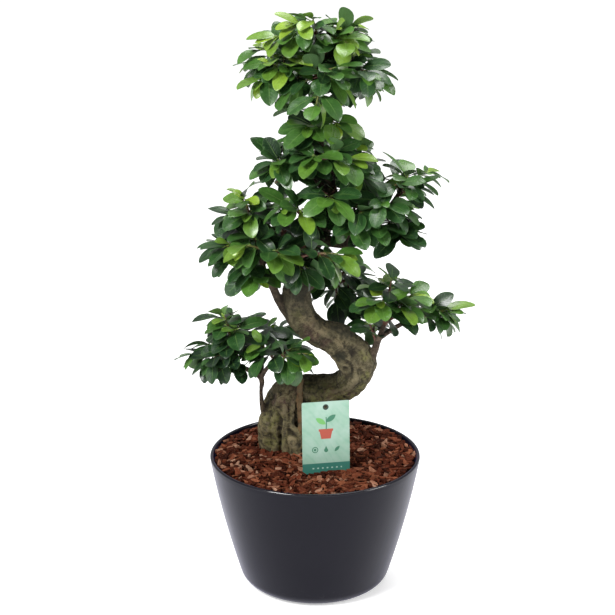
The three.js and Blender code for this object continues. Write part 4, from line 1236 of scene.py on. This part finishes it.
def bark_look():
    """Old ginseng bark: olive to grey-brown wood, mottled at three sizes, with purplish, mossy and pale dry
    patches, lighter ridges, and fine creases that run round the limb. Painted shade darkens its hollows, the
    wood under the foliage and some dark patches; painted light brightens the low wood and some olive
    patches."""
    look = Look("bark", Specular_IOR_Level=0.3)
    grain = look.layer("grain")
    near, far, stout = look.split(look.layer("form"))
    purple, moss, pale = look.split(look.layer("stains"))
    dark, olive, rust = look.split(look.layer("shades"))
    height = look.split(look.places)[2]
    broad = look.noise(55.0, 3.0, 0.6, 0.6)
    mottle = look.noise(150.0, 4.0, 0.65, 0.5)
    specks = look.noise(480.0, 3.0, 0.65)
    streaks = look.noise(0.9, 4.0, 0.6, where=grain)
    crease = look.noise(3.2, 3.0, 0.6, where=grain)
    wood = look.ramp(
        broad * 0.45 + mottle * 0.55, (0.38, (0.019, 0.016, 0.008)), (0.47, (0.046, 0.039, 0.020)),
        (0.53, (0.088, 0.075, 0.038)), (0.63, (0.185, 0.158, 0.086)))
    twig = look.ramp(
        mottle, (0.38, (0.022, 0.013, 0.010)), (0.5, (0.058, 0.036, 0.028)), (0.64, (0.12, 0.080, 0.058)))
    colour = look.paint(
        wood,
        # Tan low on the trunk and roots, partly pale bark and partly painted light on the lit lower wood.
        (height.between(0.259, 0.217) * mottle.between(0.42, 0.6) * 0.5, (0.25, 0.205, 0.085)),
        (moss * mottle.between(0.40, 0.58) * 0.75, (0.072, 0.078, 0.015)),
        (purple * broad.between(0.38, 0.55) * 0.7, (0.095, 0.045, 0.041)),
        (pale * mottle.between(0.36, 0.56) * 0.75, (0.27, 0.215, 0.115)),
        # Olive patches, partly painted light on the bend's shaded underside.
        (olive * mottle.between(0.38, 0.56) * 0.75, (0.165, 0.165, 0.045)),
        (streaks.between(0.5, 0.72) * 0.35, (0.21, 0.17, 0.095)),
        (specks.between(0.55, 0.68) * 0.5, (0.018, 0.013, 0.008)),
        # Lighter on swells and ridges; darker in broad and fine hollows as painted shade.
        (far.between(0.3, 1.6) * 0.3, (0.22, 0.185, 0.10)),
        (far.between(-0.2, -1.5) * 0.8, (0.017, 0.012, 0.007)),
        (near.between(-0.03, -0.26) * 0.45, (0.020, 0.015, 0.009)),
        (near.between(0.05, 0.3) * 0.25, (0.26, 0.215, 0.13)),
        # Dark patches, partly painted shade under the foliage and in folds.
        (dark * broad.between(0.34, 0.5) * 0.8, (0.016, 0.017, 0.009)),
        # Darker from 0.28 m up: painted shade of the foliage over the upper trunk and branches.
        (height.between(0.28, 0.392) * 0.5, (0.020, 0.017, 0.011)),
        (rust * mottle.between(0.3, 0.6) * 0.6, (0.22, 0.10, 0.038)),
        (stout.between(0.34, 0.16) * 0.85, twig))
    look.feed(Base_Color=colour, Roughness=0.7 + streaks * 0.25)
    look.bump(crease * 0.5 + specks * 0.6 + mottle * 1.1, 0.0024)
    return look


def planter_look():
    """Dark anthracite glaze: satin, a breath of unevenness, a glossy lip, and fine scuffs at the foot."""
    look = Look("planter_glaze", Coat_Roughness=0.08, Specular_IOR_Level=0.12, Sheen_Weight=0.14,
                Sheen_Roughness=0.35, Sheen_Tint=(0.35, 0.35, 1.0, 1))
    height = look.split(look.places)[2]
    cloud = look.noise(9.0, 3.0)
    low = height.between(0.03, 0.0) * look.noise(160.0, 4.0, 0.65, 1.5).between(0.56, 0.68)
    lip = height.between(0.1702, 0.172)
    glaze = look.mix(cloud, (0.0036, 0.0034, 0.0068), (0.0055, 0.0052, 0.0098))
    colour = look.mix(low * 0.3, glaze, (0.05, 0.05, 0.055))
    look.feed(Base_Color=colour, Roughness=0.24 + cloud * 0.10 + low * 0.3, Coat_Weight=0.02 + lip * 0.9)
    look.bump(cloud * 0.6 + look.noise(700.0) * 0.05, 0.0008)
    return look


def soil_and_shade_look():
    """Dark crumbly potting soil, near-black as painted shade where it shows in the gaps between the chips.
    """
    look = Look("soil", Specular_IOR_Level=0.1)
    crumb = look.noise(300.0, 5.0, 0.7)
    # Near-black, partly as painted shade in the gaps between the chips.
    colour = look.mix(crumb.between(0.35, 0.7), (0.005, 0.0018, 0.0010), (0.030, 0.010, 0.005))
    look.feed(Base_Color=colour, Roughness=0.9 + crumb * 0.1)
    look.bump(crumb, 0.003)
    return look


def chip_look():
    """Pine bark chips: red-brown, some nearly black and some tan, darker deep down as painted shade between
    the chips, with layers that run along each chip."""
    look = Look("bark_chip", Specular_IOR_Level=0.06)
    tone, light, layer = look.split(look.layer("chip"))
    layers = look.noise(0.9, 3.0, 0.6, where=look.layer("grain"))
    dust = look.noise(700.0, 3.0, 0.6)
    barks = look.ramp(
        tone, (0.0, (0.017, 0.0028, 0.001)), (0.3, (0.062, 0.0118, 0.0048)), (0.6, (0.133, 0.032, 0.0145)),
        (0.85, (0.25, 0.082, 0.039)), (1.0, (0.44, 0.255, 0.17)))
    colour = look.paint(
        barks,
        (layers.between(0.4, 0.68) * 0.55, (0.022, 0.005, 0.0025)),
        (dust.between(0.58, 0.72) * 0.35, (0.40, 0.24, 0.15)),
        # Lower chips darker: painted shade deep in the pile between the chips.
        (layer.between(0.85, 0.3) * 0.6, (0.014, 0.0028, 0.0012)))
    look.feed(Base_Color=colour, Roughness=0.62 + light * 0.25)
    look.bump(layers * 0.8 + dust * 0.3, 0.0010)
    return look


def card_look():
    """Printed card: pale mint with faint fronds, a sprout over a small clay pot, three care signs, and a
    dark band along the foot. Its back and stem are plain."""
    look = Look("label_print", Coat_Weight=0.15, Coat_Roughness=0.25)
    x, y, z = look.split(look.layer("card"))
    green = (0.03, 0.16, 0.09)

    def inside(distance, *others):
        """1 where all distances in millimetres are below 0, with a soft edge."""
        for other in others:
            distance = distance.most(other)
        return distance.between(0.12, -0.12)

    def circle(cx, cy, radius):
        return (((x - cx) ** 2 + (y - cy) ** 2) ** 0.5) - radius

    def almond(cx, cy, length, width, turn):
        """A leaf shape: where two equal circles overlap, their centres set apart across it."""
        radius = (length**2 + width**2) / (4 * width)
        apart = radius - width / 2
        ox = -math.sin(turn) * apart
        oy = math.cos(turn) * apart
        return inside(circle(cx + ox, cy + oy, radius), circle(cx - ox, cy - oy, radius))

    cloud = look.noise(38.0, 3.0, 0.6)
    clouds = cloud.between(0.3, 0.7)
    fronds = ((x * 0.55 + y * 0.42) + (x * 0.10).sine() * 3.0).sine() * 0.5 + 0.5
    pot = inside(abs(x) - (y - 46.0) * 0.22 - 6.2, abs(y - 50.0) - 5.2)
    rim = inside(abs(x) - 9.2, abs(y - 56.2) - 1.5)
    stem = inside(abs(x - (y * 0.12).sine() * 0.7) - 0.7, abs(y - 65.0) - 8.0)
    sun = inside(abs(circle(-14.0, 31.0, 3.4)) - 0.55).most(inside(circle(-14.0, 31.0, 1.7)))
    drop = inside(circle(0.0, 29.8, 2.6)).most(inside(abs(x) - (35.6 - y) * 0.45, abs(y - 33.0) - 2.4))
    dots = inside((x * 1.05).sine() * -1.0 + 0.45) * inside(abs(y - 6.8) - 0.8) * inside(abs(x) - 20.0)
    colour = look.paint(
        look.mix(clouds, (0.225, 0.40, 0.29), (0.33, 0.475, 0.40)),
        (fronds.between(0.62, 1.0) * cloud.between(0.62, 0.4) * 0.5, (0.19, 0.375, 0.27)),
        (inside(circle(0.0, CARD_HEIGHT - CARD_HOLE_DROP, 3.7)), (0.012, 0.03, 0.02)),
        (pot.most(rim), (0.36, 0.055, 0.03)),
        (stem, green),
        (almond(-6.4, 68.0, 15.0, 6.6, 2.55), (0.13, 0.38, 0.10)),
        (almond(6.4, 71.0, 15.0, 6.6, 0.62), green),
        (sun.most(drop).most(almond(14.0, 31.0, 9.0, 4.0, 0.8)), green),
        (inside(abs(y - 6.5) - 6.8), (0.030, 0.155, 0.118)),
        (dots, (0.36, 0.54, 0.46)),
        (z.between(0.1, -0.1), look.mix(clouds, (0.36, 0.47, 0.40), (0.42, 0.52, 0.46))),
        (inside(y + 0.4), (0.30, 0.46, 0.38)))
    fibre = look.noise(1400.0)
    look.feed(Base_Color=colour, Roughness=0.38 + fibre * 0.1)
    look.bump(fibre, 0.00012)
    return look


def floor_look():
    """Plain pale floor, lit from within a little more the farther it lies from the object."""
    look = Look("floor", Emission_Strength=1.0)
    x, y, _ = look.split(look.places)
    cloud = look.noise(1.5)
    glow = look.mix((x * x + y * y).between(0.3, 6.0), (0.45, 0.45, 0.45), (0.78, 0.78, 0.78))
    colour = look.mix(cloud, (0.86, 0.86, 0.86), (0.88, 0.88, 0.88))
    look.feed(Base_Color=colour, Roughness=0.6 + cloud * 0.05, Emission_Color=glow)
    return look


# Studio


def lamp(name, place, aim, size, power):
    """A square area lamp at one place that shines at another."""
    light = bpy.data.lights.new(name, "AREA")
    light.size = size
    light.energy = power
    made = in_scene(name, light)
    made.location = place
    x, y, z = np.array(aim) - np.array(place)
    made.rotation_euler = (math.atan2(math.hypot(x, y), -z), 0, math.atan2(-x, y))


def studio():
    """A wide pale floor, soft light from all round, and three large soft lamps."""
    corners = np.array([(-1, -1, 0), (1, -1, 0), (1, 1, 0), (-1, 1, 0)])
    mesh = mesh_from("floor", corners * FLOOR_HALF / MM, [(0, 1, 2, 3)])
    mesh.materials.append(floor_look().material)
    floor = in_scene("floor", mesh)
    world = bpy.data.worlds.new("studio")
    world.use_nodes = True
    sky = world.node_tree.nodes["Background"].inputs
    sky["Color"].default_value = (1.0, 1.0, 1.0, 1)
    sky["Strength"].default_value = SKY
    bpy.context.scene.world = world
    bpy.context.scene.view_settings.view_transform = "Standard"
    for name, setting in LAMPS.items():
        lamp(name, *setting)


def camera():
    """The photograph's own view, from 2 m in front."""
    eye = bpy.data.cameras.new("camera")
    eye.lens = LENS
    eye.sensor_width = SENSOR
    eye.clip_end = 100.0
    made = in_scene("camera", eye)
    made.location = EYE
    made.rotation_euler = (math.pi / 2 - LOOK_DOWN, 0, 0)
    bpy.context.scene.camera = made


camera()
studio()
foliage(tree_wood(bark_look()), leaf_look(), twig_look())
planter(planter_look())
mulch_bed(soil_and_shade_look())
bark_chips(chip_look())
plant_label(card_look())
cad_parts["soil"].data.materials.clear()
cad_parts["soil"].data.materials.append(soil_and_shade_look().material)
